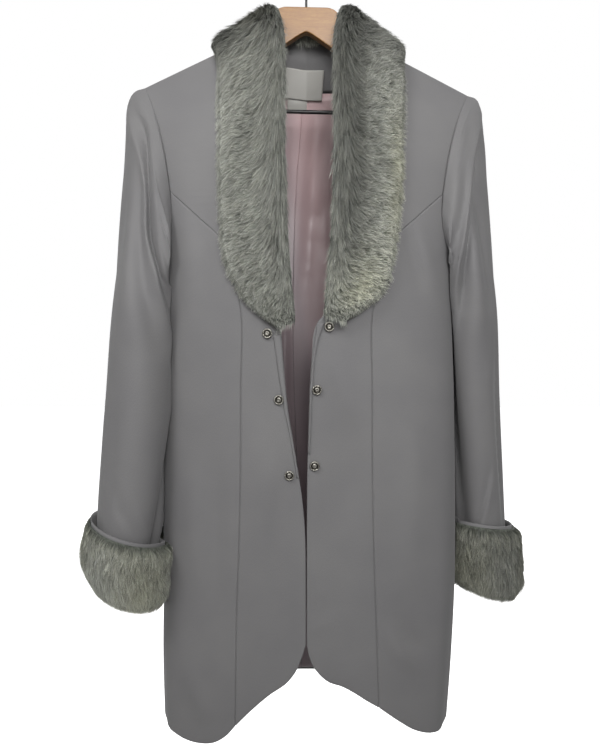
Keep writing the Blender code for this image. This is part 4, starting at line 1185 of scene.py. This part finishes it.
def strands(name, form, flow, reach, count, seed, warm, shade, ring=False, keep=None):
    """Fur as tapering ribbons: each bends from the underfur up and over to a tip on the fur's outer form.

    Roots are spread evenly by area. The flow gives how far each tip lies from its root along the two axes.
    Roots within one lock share a lean and draw their tips together. The ribbon's points lie on a curve of
    second degree from root by a raised middle to the tip, and its flat side faces out.
    """
    skin, lift, height = form
    rng = np.random.default_rng(seed)
    rows, columns = skin.shape[:2]
    across = np.linalg.norm(np.diff(skin, axis=1), axis=-1)
    ahead = np.roll(skin, -1, axis=0) - skin if ring else np.diff(skin, axis=0)
    down = np.linalg.norm(ahead, axis=-1)
    cells = across[: len(down)] * down[:, :-1]
    weight = np.cumsum(cells.ravel())
    pick = np.searchsorted(weight, rng.random(count) * weight[-1])
    i, j = np.divmod(np.clip(pick, 0, cells.size - 1), cells.shape[1])
    a = (i + rng.random(count)) / (rows if ring else rows - 1)
    s = (j + rng.random(count)) / (columns - 1)
    s = reach[0] + (reach[1] - reach[0]) * s
    wide = across.sum(axis=1).mean()
    long = down.sum(axis=0).mean()
    lock_a = np.floor(a * long / LOCK)
    lock_s = np.floor(s * wide / LOCK + 0.5 * (lock_a % 2))
    lock = (lock_a * 977 + lock_s * 131).astype(int) % LOCK_KINDS
    spread = rng.normal(size=(LOCK_KINDS, 6))

    def varied(column, sizes):
        """Random amount of each hair: its lock's own plus the hair's own."""
        return sizes[0] * spread[lock, column] + sizes[1] * rng.normal(size=count)

    mid_a = ((lock_a + 0.5 + 0.35 * spread[lock, 0]) * LOCK / long) if not ring else a
    mid_s = (lock_s - 0.5 * (lock_a % 2) + 0.5 + 0.35 * spread[lock, 1]) * LOCK / wide
    mid_a = a + np.clip(mid_a - a, -0.02, 0.02)
    draw = 0.2 + 0.45 * rng.random(count)
    step_a, step_s = flow(a, s)
    stray = varied(2, WAY_SPREAD)
    turn_a = step_a * np.cos(stray) + step_s * np.sin(stray)
    turn_s = step_s * np.cos(stray) - step_a * np.sin(stray)
    size = np.clip(1 + varied(3, LENGTH_SPREAD), 0.5, 1.5)
    tip_a = a + draw * (mid_a - a) + turn_a * size / long
    tip_s = s + draw * (mid_s - s) + turn_s * size / wide
    slack = (0.055 if ring else 0.085) * rng.random(count) ** 1.5
    if not ring:
        slack = slack * np.clip((a - 0.3) * 7, 0.15, 1)
        tip_a = np.clip(tip_a, 0.0, 1 + slack * 0.3)
    tip_s = np.clip(tip_s, -slack, 1 + slack)
    edge_s = sample(skin, a, np.ones(count), ring) - sample(skin, a, np.zeros(count), ring)
    past = (tip_s - np.clip(tip_s, 0, 1))[:, None] * edge_s
    if not ring:
        end = skin[-1, 0] - skin[-2, 0]
        past = past + (tip_a - np.clip(tip_a, 0, 1))[:, None] * long * unit(end)

    def over(a, s, rise):
        """Points at a rise over the skin."""
        return sample(skin, a, s, ring) + sample(lift, a, s, ring) * rise[:, None]

    root = over(a, s, HAIR_ROOT * sample(height, a, s, ring))
    tip_high = sample(height, tip_a, tip_s, ring)
    rise = np.clip(0.88 + varied(4, RISE_SPREAD), 0.4, 1.15)
    tip = over(tip_a, tip_s, rise * tip_high) + past
    half_a = a + 0.45 * (tip_a - a)
    half_s = s + 0.45 * (tip_s - s)
    bend = over(half_a, half_s, HAIR_BEND * np.maximum(sample(height, half_a, half_s, ring), tip_high))
    t = np.array(HAIR_AT)[:, None, None]
    path = (1 - t) ** 2 * root + 2 * t * (1 - t) * bend + t**2 * tip
    if keep is not None:
        path = keep(path)
    up = sample(lift, a, s, ring)[None]
    side_way = unit(np.cross(np.gradient(path, axis=0), up))
    twist = TWIST_SPREAD * rng.normal(size=count)
    side_way = side_way * np.cos(twist)[None, :, None] + up * np.sin(twist)[None, :, None]
    thick = HAIR_HALF[0] + HAIR_HALF[1] * rng.random(count)
    edge = side_way[:2] * thick[None, :, None] * np.array([1.0, 0.8])[:, None, None]
    points = np.concatenate([path[:2] - edge, path[:2] + edge, path[2:]], axis=0)
    points = np.swapaxes(points, 0, 1).reshape(-1, 3)
    first = (np.arange(count) * 5)[:, None, None]
    ribbon = np.array([[0, 2, 1], [1, 2, 3], [1, 3, 4]])[None]
    faces = (first + ribbon).reshape(-1, 3)
    at = np.broadcast_to(np.array(HAIR_AT[:2] + HAIR_AT), (count, 5))
    # Tone: painted shade and light from shade, times each lock's and hair's random tone.
    tone = shade(a, s) * np.clip(1.0 + varied(5, TONE_SPREAD), 0.4, 1.8)
    gold = np.clip(warm(a, s) + WARM_SPREAD * rng.normal(size=count), 0, 1)
    values = {"along": at, "tone": np.repeat(tone, 5), "warm": np.repeat(gold, 5)}
    return add_piece(name, points, faces, HAIR, values)


def underfur_body(name, loops, closed, node):
    """Underfur in place of a solid: section loops joined round when closed, else capped with a fan at both ends."""
    steps, count = loops.shape[:2]
    points = loops.reshape(-1, 3)
    index = np.arange(steps * count).reshape(steps, count)
    here = index if closed else index[:-1]
    ahead = np.roll(index, -1, axis=0) if closed else index[1:]
    corners = (here, np.roll(here, -1, axis=1), np.roll(ahead, -1, axis=1), ahead)
    quads = np.stack(corners, axis=-1).reshape(-1, 4)
    faces = np.concatenate([quads[:, [0, 1, 2]], quads[:, [0, 2, 3]]])
    if not closed:
        ends = np.stack([loops[0].mean(axis=0), loops[-1].mean(axis=0)])
        centre = len(points)
        points = np.concatenate([points, ends])
        first = np.stack([np.roll(index[0], -1), index[0], np.full(count, centre)], axis=-1)
        last = np.stack([index[-1], np.roll(index[-1], -1), np.full(count, centre + 1)], axis=-1)
        faces = np.concatenate([faces, first, last])
    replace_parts(add_piece(name, points, turned_out(points, faces), UNDERFUR), node)


def build_collar(side):
    """Half of the collar: an underfur body on the skin, and hair combed down at the inner edge and out beyond it."""
    name = SIDES[side]
    skin, lift, height = collar_form(side, 120, 25)
    top = skin + lift * (0.5 * height)[..., None]
    underfur_body("collar_underfur_" + name, np.concatenate([skin, top[:, ::-1]], axis=1), False, "collar_" + name)

    def flow(a, s):
        """Hair turns from the comb's slope to straight down at the inner edge, by a parting on the left."""
        outer = cubic(*np.transpose(COLLAR_COMB[side]), a)
        if side == RIGHT:
            angle = outer + (82 - outer) * bell(s, 0, 0.22) + 34 * bell(s, 0, 0.08)
        else:
            off = s - 0.11 - 0.02 * np.sin(40 * a)
            angle = outer + (70 - outer) * bell(np.maximum(off, 0), 0, 0.11)
            angle = angle + (100 - angle) * (0.5 - 0.5 * np.tanh(off / 0.05)) + 18 * bell(s, 0, 0.07)
        return COLLAR_HAIR * np.sin(np.radians(angle)), COLLAR_HAIR * np.cos(np.radians(angle))

    def warm(a, s):
        """Share of yellow: a little everywhere, with bells at the yellowed places."""
        return 0.05 + sum(k * bell(a, a0, wa) * bell(s, s0, ws) for k, a0, wa, s0, ws in COLLAR_WARM[side])

    def shade(a, s):
        """Painted shade and light in the hair's tone: dimmer at the inner edge and over the shoulder, lighter low
        down.
        """
        if side == LEFT:
            dim = 0.60 * bell(s, 0.15, 0.24) * np.clip((0.90 - a) / 0.2, 0, 1) + 0.52 * bell(a, 0.35, 0.10)
            return 1.04 - np.minimum(dim, 0.68) + 0.50 * bell(a, 0.84, 0.1) * bell(s, 0.6, 0.4)
        dim = 0.34 * bell(s, 0, 0.22) + 0.54 * bell(a, 0.31, 0.09)
        return 0.94 - np.minimum(dim, 0.56) + 0.06 * bell(a, 0.84, 0.14)

    strands("collar_hair_" + name, (skin, lift, height), flow, (0.03, 0.93), COLLAR_HAIRS, 11 + side, warm, shade)


def build_cuff(side):
    """Turned-up cuff: cloth band, underfur body, and hair combed down."""
    name = SIDES[side]
    spread = 1 + CUFF_SHOWS / CUFF_TALL[side]
    place = np.linspace(0, 1, 97)[:-1][None, :]
    share = np.linspace(0.04, spread, 14)[:, None]
    band = clear_of_body(side, cuff_ring(side, place, share, CUFF_BAND), BAND_CLEAR)
    core = band.mean(axis=(0, 1))
    piece = cloth_piece("cuff_band_" + name, band, CUFF_BAND, WOOL, lambda p: from_axis(p - core),
                        "cuff_lining_" + name, True)
    skin, lift, height = cuff_form(side, 120, 25)
    inner = clear_of_body(side, skin[:, 1:-1], BAND_CLEAR - 1.0 * MM)
    top = clear_of_body(side, (skin + lift * (0.5 * height)[..., None])[:, ::-1], CUFF_CLEAR)
    underfur_body("cuff_underfur_" + name, np.concatenate([inner, top], axis=1), True, "cuff_" + name)

    def flow(a, s):
        """Hair combed down and a little round, shorter at the rim."""
        length = CUFF_HAIR * np.clip(0.55 + 1.2 * (1 - s), 0, 1)
        return 0.06 * length, -length

    def warm(a, s):
        """Share of yellow in three soft waves round the cuff."""
        return 0.22 + 0.18 * np.sin(2 * np.pi * (3 * a + 0.2)) * np.sin(3 * s)

    def shade(a, s):
        """Painted shade and light in the hair's tone: the cuff's painted shade from CUFF_TONE, lighter at the foot."""
        return CUFF_TONE[side] + 0.32 * bell(s, 0, 0.3)

    strands("cuff_hair_" + name, (skin, lift, height), flow, (0.06, 0.99), CUFF_HAIRS, 31 + side, warm, shade, True,
            lambda path: clear_of_body(side, path, HAIR_CLEAR))


def front_place(side, x, drop, out=0.0):
    """Point of the front at an X in metres, moved out from the cloth."""
    return body(side, turn_at(side, np.abs(x), drop), drop, out)


def edge_half(side, drop_mm):
    """Half width of the front edge at a drop."""
    path = np.array((FRONT_EDGE[side] + ROLL_LOW)[::-1], float)
    return np.interp(drop_mm, path[:, 1], path[:, 0]) * MM


def build_facing(side):
    """Strip of facing that rolls out over the front edge: a low arch across, tapering down."""
    drops, widths = np.transpose(FACING_ROWS[side])
    drop = np.linspace(drops[0], drops[-1], 60)[:, None]
    width = cubic(drops, widths, drop) * MM
    share = np.linspace(0, 1, 9)[None, :]
    x = side * (edge_half(side, drop) + 0.4 * MM + width * share)
    out = (0.6 + 1.0 * np.sin(np.pi * share) ** 0.7 + 0 * drop) * MM
    grid = front_place(side, x, drop * MM + 0 * x, out + LINING)
    piece = cloth_piece("facing_strip_" + SIDES[side], grid, LINING, WOOL, to_front,
                        "facing_" + SIDES[side])


def neck_surface(x, drop, out):
    """Inside of the back neck: against the back below the neckline, leaning in above it."""
    path = np.array(BACK_NECK, float) * MM
    low = np.maximum(drop, np.interp(np.abs(x), path[:, 0], path[:, 1]))
    y = np.zeros_like(x)
    for one in (RIGHT, LEFT):
        place = body(one, turn_at(one, np.abs(x), low, True), low, -CLOTH - out)
        y = np.where((x < 0) == (one == RIGHT), place[..., 1], y)
    return np.stack([x, y - STAND_LEAN * (low - drop), -drop - lean(x, drop)], axis=-1)


def build_neck_fur():
    """Collar fur that rolls over the back neck: hair hanging down inside it, over the top of the facing."""
    x = np.linspace(-38, 38, 24)[:, None] * MM
    drop = np.linspace(58, 103, 15)[None, :] * MM
    skin = neck_surface(x + 0 * drop, drop + 0 * x, 5 * MM)
    lift = to_front(skin) + 0 * skin
    form = (skin, lift, 7 * MM + 0 * skin[..., 0])
    # The hair's tone of 1.15 is painted light: the roll hangs in the hanger's shadow.
    strands("collar_hair_back", form, lambda a, s: (0, NECK_HAIR), (0.0, 0.64), NECK_HAIRS, 5,
            lambda a, s: 0.1, lambda a, s: 1.15)


def build_neck():
    """Back neck facing and the two blank labels on it."""
    x = np.linspace(-1, 1, 41)[None, :] * NECK_FACING_HALF
    drop = np.linspace(NECK_FACING[0], NECK_FACING[1], 31)[:, None] * MM
    end, start = NECK_DIP_FADE
    dip = NECK_DIP * (np.abs(x) / NECK_FACING_HALF) ** 2 * np.clip((end - drop) / (end - start), 0, 1)
    grid = neck_surface(x + 0 * drop, drop + dip, 2.0 * MM)
    piece = cloth_piece("neck_facing_cloth", grid, LINING, WOOL, to_back, "neck_facing")
    for name, (left, top, wide, tall), out in (("label", LABEL, LABEL_OUT), ("size_tab", SIZE_TAB, TAB_OUT)):
        u = np.linspace(0, 1, 25)[None, :]
        v = np.linspace(0, 1, 25)[:, None]
        tilt = np.radians(LABEL_TILT)
        bow = np.sin(np.pi * u) * np.sin(np.pi * v)
        off = (out[0] + (out[1] - out[0]) * v + 0.8 * bow) * MM
        across = u * wide * MM
        down = v * tall * MM
        grid = neck_surface(left * MM + across - down * tilt, top * MM + down + across * tilt * 0.6, 1.0 * MM)
        grid[..., 1] -= off - 1.0 * MM
        ribbon = cloth_piece(name + "_ribbon", grid, LABEL_WALL, RIBBON, to_back, name)


def build_lining(side):
    """Half of the satin back lining, with soft pleats that run down from the neck."""
    share = edge_spaced(45)
    turn = np.pi - share * (np.pi - np.radians(LINING_TURN))
    at = np.linspace(0, 1, 101)[:, None] ** 1.25
    top = LINING_TOP + LINING_FALL * np.clip((share[None, :] - 0.25) / 0.4, 0, 1)
    drop = (LINING_END + (top - LINING_END) * at) * MM
    grid_turn = turn[None, :] + 0 * drop
    wave = np.sin(share * LINING_PLEATS + side * 0.7 + 3 * drop) * bell(share, 0.16, 0.2)
    out = -CLOTH - LINING_GAP - (0.5 + 0.5 * wave) * LINING_PLEAT * np.clip((drop - 0.16) / 0.1, 0, 1)
    depth, width = LINING_ROLL
    out = out - depth * bell(drop / MM, LINING_END - width, width)
    flat = body(side, grid_turn, drop)
    out = out + crease_field(CREASES[side, INSIDE], np.abs(flat[..., 0]) / MM, drop / MM)
    grid = body(side, grid_turn, drop, out)
    grid[:, 0, 0] = side * SEAM
    drift = cubic(*np.transpose(LINING_SEAM), drop / MM) * MM
    grid[..., 0] += drift * np.clip(1 - share / 0.5, 0, 1) ** 1.5
    piece = cloth_piece("lining_satin_" + SIDES[side], grid, LINING, SATIN, from_axis,
                        "lining_" + SIDES[side])


def build_button(side, number, x, drop):
    """Turned shank button: a cupped disc with a beaded rim and a low dome, standing on the cloth."""
    r, h, dark = np.transpose(BUTTON_SECTION)
    angle = np.linspace(0, 2 * np.pi, BUTTON_STEPS, endpoint=False)[None, :]
    beads = 0.10 * MM * (((r > 0.7) & (h > 0.75))[:, None] * np.cos(BUTTON_BEADS * angle))
    r = (r * BUTTON_RADIUS)[:, None]
    grid = np.stack([r * np.cos(angle), r * np.sin(angle), (h * BUTTON_HEIGHT)[:, None] + beads], axis=-1)
    at = np.array([[x * MM]])
    low = np.array([[drop * MM]])
    place = front_place(side, at, low)[0, 0]
    right = front_place(side, at + side * 2 * MM, low)[0, 0] - place
    down = front_place(side, at, low + 2 * MM)[0, 0] - place
    out = unit(np.cross(right, down))
    out = out if out[1] < 0 else -out
    right = unit(right - out * (right @ out))
    axes = np.stack([right, np.cross(out, right), out])
    points = grid.reshape(-1, 3) @ axes + place + out * 0.5 * MM
    faces = grid_faces(len(r), BUTTON_STEPS, True)
    mid = points.mean(axis=0)
    name = f"button_{SIDES[side]}_{number}"
    piece = add_piece("metal_" + name, points, faced(points, faces, lambda p: p - mid), SILVER,
                      values={"hollow": np.repeat(dark, BUTTON_STEPS)})
    close_poles(piece)
    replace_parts(piece, name)


def tube(name, path, radius, node, steps=16):
    """Round wire: circles carried along a path on its turning frame, with domed ends."""
    path = np.asarray(path, float)
    way = unit(np.gradient(path, axis=0))
    across = unit(np.cross(way, np.array([0.0, 1.0, 0.0])))
    other = np.cross(across, way)
    angle = np.linspace(0, 2 * np.pi, steps, endpoint=False)[None, :, None]
    rings = path[:, None] + radius * (np.cos(angle) * across[:, None] + np.sin(angle) * other[:, None])
    caps = []
    for end, sign in ((0, -1), (-1, 1)):
        for share in (0.98, 0.8, 0.45, 0.0):
            lift = np.sqrt(1 - share**2)
            caps.append(path[end] + (rings[end] - path[end]) * share + way[end] * sign * radius * 0.5 * lift)
    grid = np.concatenate([np.array(caps[3::-1]), rings, np.array(caps[4:])])
    points = grid.reshape(-1, 3)
    faces = grid_faces(*grid.shape[:2], True)
    piece = add_piece(name, points, turned_out(points, faces), WIRE)
    close_poles(piece)
    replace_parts(piece, node)


def build_hanger():
    """Wooden bow with rounded edges, trouser bar and wire hook."""
    half = np.array(WOOD_TOP + WOOD_BELOW, float) * MM
    loop = np.concatenate([half, (half[1:-1] * np.array([-1, 1]))[::-1], half[:1]])
    run = lengths_along(loop)
    at = np.linspace(0, run[-1], WOOD_STEPS, endpoint=False)
    rim = np.stack([np.interp(at, run, loop[:, k]) for k in (0, 1)], axis=-1)
    rim = (np.roll(rim, 1, axis=0) + 2 * rim + np.roll(rim, -1, axis=0)) / 4
    way = unit(np.roll(rim, -1, axis=0) - np.roll(rim, 1, axis=0))
    inward = np.stack([-way[:, 1], way[:, 0]], axis=-1)
    angle = np.radians(np.linspace(0, 90, 6))
    pull = np.concatenate([WOOD_EDGE * (1 - np.sin(angle)), WOOD_EDGE * (1 - np.sin(angle[::-1]))])
    deep = WOOD_THICK / 2 - WOOD_EDGE
    y = np.concatenate([-deep - WOOD_EDGE * np.cos(angle), deep + WOOD_EDGE * np.cos(angle[::-1])])
    rings = rim[None] + inward[None] * pull[:, None, None]
    rings[..., 1] += LEAN * rings[..., 0]
    grid = np.stack([rings[..., 0], y[:, None] + 0 * rings[..., 0], -rings[..., 1]], axis=-1)
    index = np.arange(grid.size // 3).reshape(grid.shape[:2])
    faces = grid_faces(*grid.shape[:2], True)[:, ::-1].tolist()
    faces += [index[0].tolist(), index[-1, ::-1].tolist()]
    mesh = bpy.data.meshes.new("hanger_beech")
    mesh.from_pydata(grid.reshape(-1, 3), [], faces)
    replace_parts(finish_piece("hanger_beech", mesh, BEECH), "hanger_wood")
    across = np.linspace(-BAR_HALF, BAR_HALF, 40)
    bar = np.stack([across, 0 * across, -BAR_DROP - LEAN * across], axis=-1)
    tube("hanger_bar_wire", bar, BAR_RADIUS, "hanger_bar")
    angle = np.radians(np.linspace(*HOOK_ARC, 80))
    centre = HOOK_RADIUS + HOOK_WIRE
    hook = np.stack([centre * np.cos(angle), 0 * angle, -HOOK_RADIUS + centre * np.sin(angle)], axis=-1)
    tube("hanger_hook_wire", np.concatenate([np.array(HOOK_NECK) * MM, hook]), HOOK_WIRE, "hanger_hook")


WOOL = wool_twill()
HAIR = fur_hair()
UNDERFUR = underfur()
SATIN = pink_satin()
RIBBON = label_satin()
SILVER = silvered_metal()
BEECH = lacquered_beech()
WIRE = black_wire()

across = edge_spaced(41)
up_front = rows_with_corner(81, 46, FRONT_SPLIT)
up_side = edge_spaced(101)
up_back = rows_with_corner(75, 50, BACK_SPLIT)
for side, name in SIDES.items():
    points = panel_points(side, front_panel(side, across, up_front), FRONT, ("right", "high"), ("left", "low"))
    piece = cloth_piece("front_cloth_" + name, points, CLOTH, WOOL, from_axis, "front_" + name)
    points = panel_points(side, side_panel(side, across, up_side), FRONT, ("left", "right", "high"), ("low",))
    piece = cloth_piece("side_cloth_" + name, points, CLOTH, WOOL, from_axis, "side_front_" + name)
    arm = np.array([side * SLEEVE_AXIS[0], SLEEVE_AXIS[1], 0])
    piece = cloth_piece("sleeve_cloth_" + name, sleeve_points(side, 131, 40), CLOTH, WOOL,
                        lambda p: from_axis(p - arm), "sleeve_" + name, True)
    build_cuff(side)
    build_collar(side)
    build_facing(side)
    build_lining(side)
    for number, (x, drop) in enumerate(BUTTONS[side], 1):
        build_button(side, number, x, drop)
backs = [panel_points(side, back_panel(side, across, up_back), BACK, ("right", "high"), ("low",)) for side in SIDES]
whole = np.concatenate([backs[0][:, ::-1], backs[1][:, 1:]], axis=1)
piece = cloth_piece("back_cloth", whole, CLOTH, WOOL, from_axis, "back")
build_neck()
build_neck_fur()
build_hanger()

# Camera, light and floor
AMBIENT = 0.30
# Focal length and downward aim in pixels of a picture of this height
FOCAL = 625
AIM = 47
TALL = 754
SENSOR = 36
FLOOR_HALF = 6
FLOOR_Z = -1.32
camera = bpy.data.objects.new("camera", bpy.data.cameras.new("camera"))
bpy.context.scene.collection.objects.link(camera)
camera.location = (-0.008, -0.83, -0.470)
camera.rotation_euler = (np.radians(90) - np.arctan(AIM / FOCAL), 0, 0)
camera.data.lens = FOCAL / TALL * SENSOR
camera.data.sensor_width = SENSOR
bpy.context.scene.camera = camera

floor_mesh = bpy.data.meshes.new("floor")
floor_corners = [(x * FLOOR_HALF, y * FLOOR_HALF, FLOOR_Z) for x, y in ((-1, -1), (1, -1), (1, 1), (-1, 1))]
floor_mesh.from_pydata(floor_corners, [], [(0, 1, 2, 3)])
floor = bpy.data.objects.new("floor", floor_mesh)
bpy.context.scene.collection.objects.link(floor)
paint, tree, shader = new_material("pale studio floor")
fill(tree, shader, Base_Color=linear("#f4f4f4"), Roughness=0.9, Emission_Color=linear("#ffffff"),
     Emission_Strength=0.9)
floor_mesh.materials.append(paint)
floor.visible_diffuse = False
floor.visible_glossy = False

world = bpy.data.worlds.new("studio")
world.use_nodes = True
tree = world.node_tree
seen = add(tree, "LightPath").outputs["Is Camera Ray"]
fill(tree, tree.nodes["Background"], Color=linear("#ffffff"), Strength=ranged(tree, seen, AMBIENT, 1.0))
bpy.context.scene.world = world
bpy.context.scene.view_settings.view_transform = "Standard"


def soft_light(name, place, aim, size, power, spread):
    """Square soft box at a place, facing a point, its beam held to a spread in degrees."""
    data = bpy.data.lights.new(name, "AREA")
    data.shape = "SQUARE"
    data.size = size
    data.energy = power
    data.spread = np.radians(spread)
    lamp = bpy.data.objects.new(name, data)
    bpy.context.scene.collection.objects.link(lamp)
    place = np.array(place, float)
    z = unit(place - np.array(aim, float))
    x = unit(np.cross((0, 0, 1), z))
    turned = np.eye(4)
    turned[:3, 0] = x
    turned[:3, 1] = np.cross(z, x)
    turned[:3, 2] = z
    turned[:3, 3] = place
    lamp.matrix_world = Matrix(turned.tolist())


soft_light("key", (-1.1, -1.4, 0.95), (0, 0, -0.3), 0.8, 20, 180)
soft_light("front", (0.28, -1.8, 0.4), (0.02, 0, -0.22), 1.0, 6.2, 75)
soft_light("rear", (0.7, 2.0, 0.5), (0, 0, -0.45), 1.2, 30, 180)
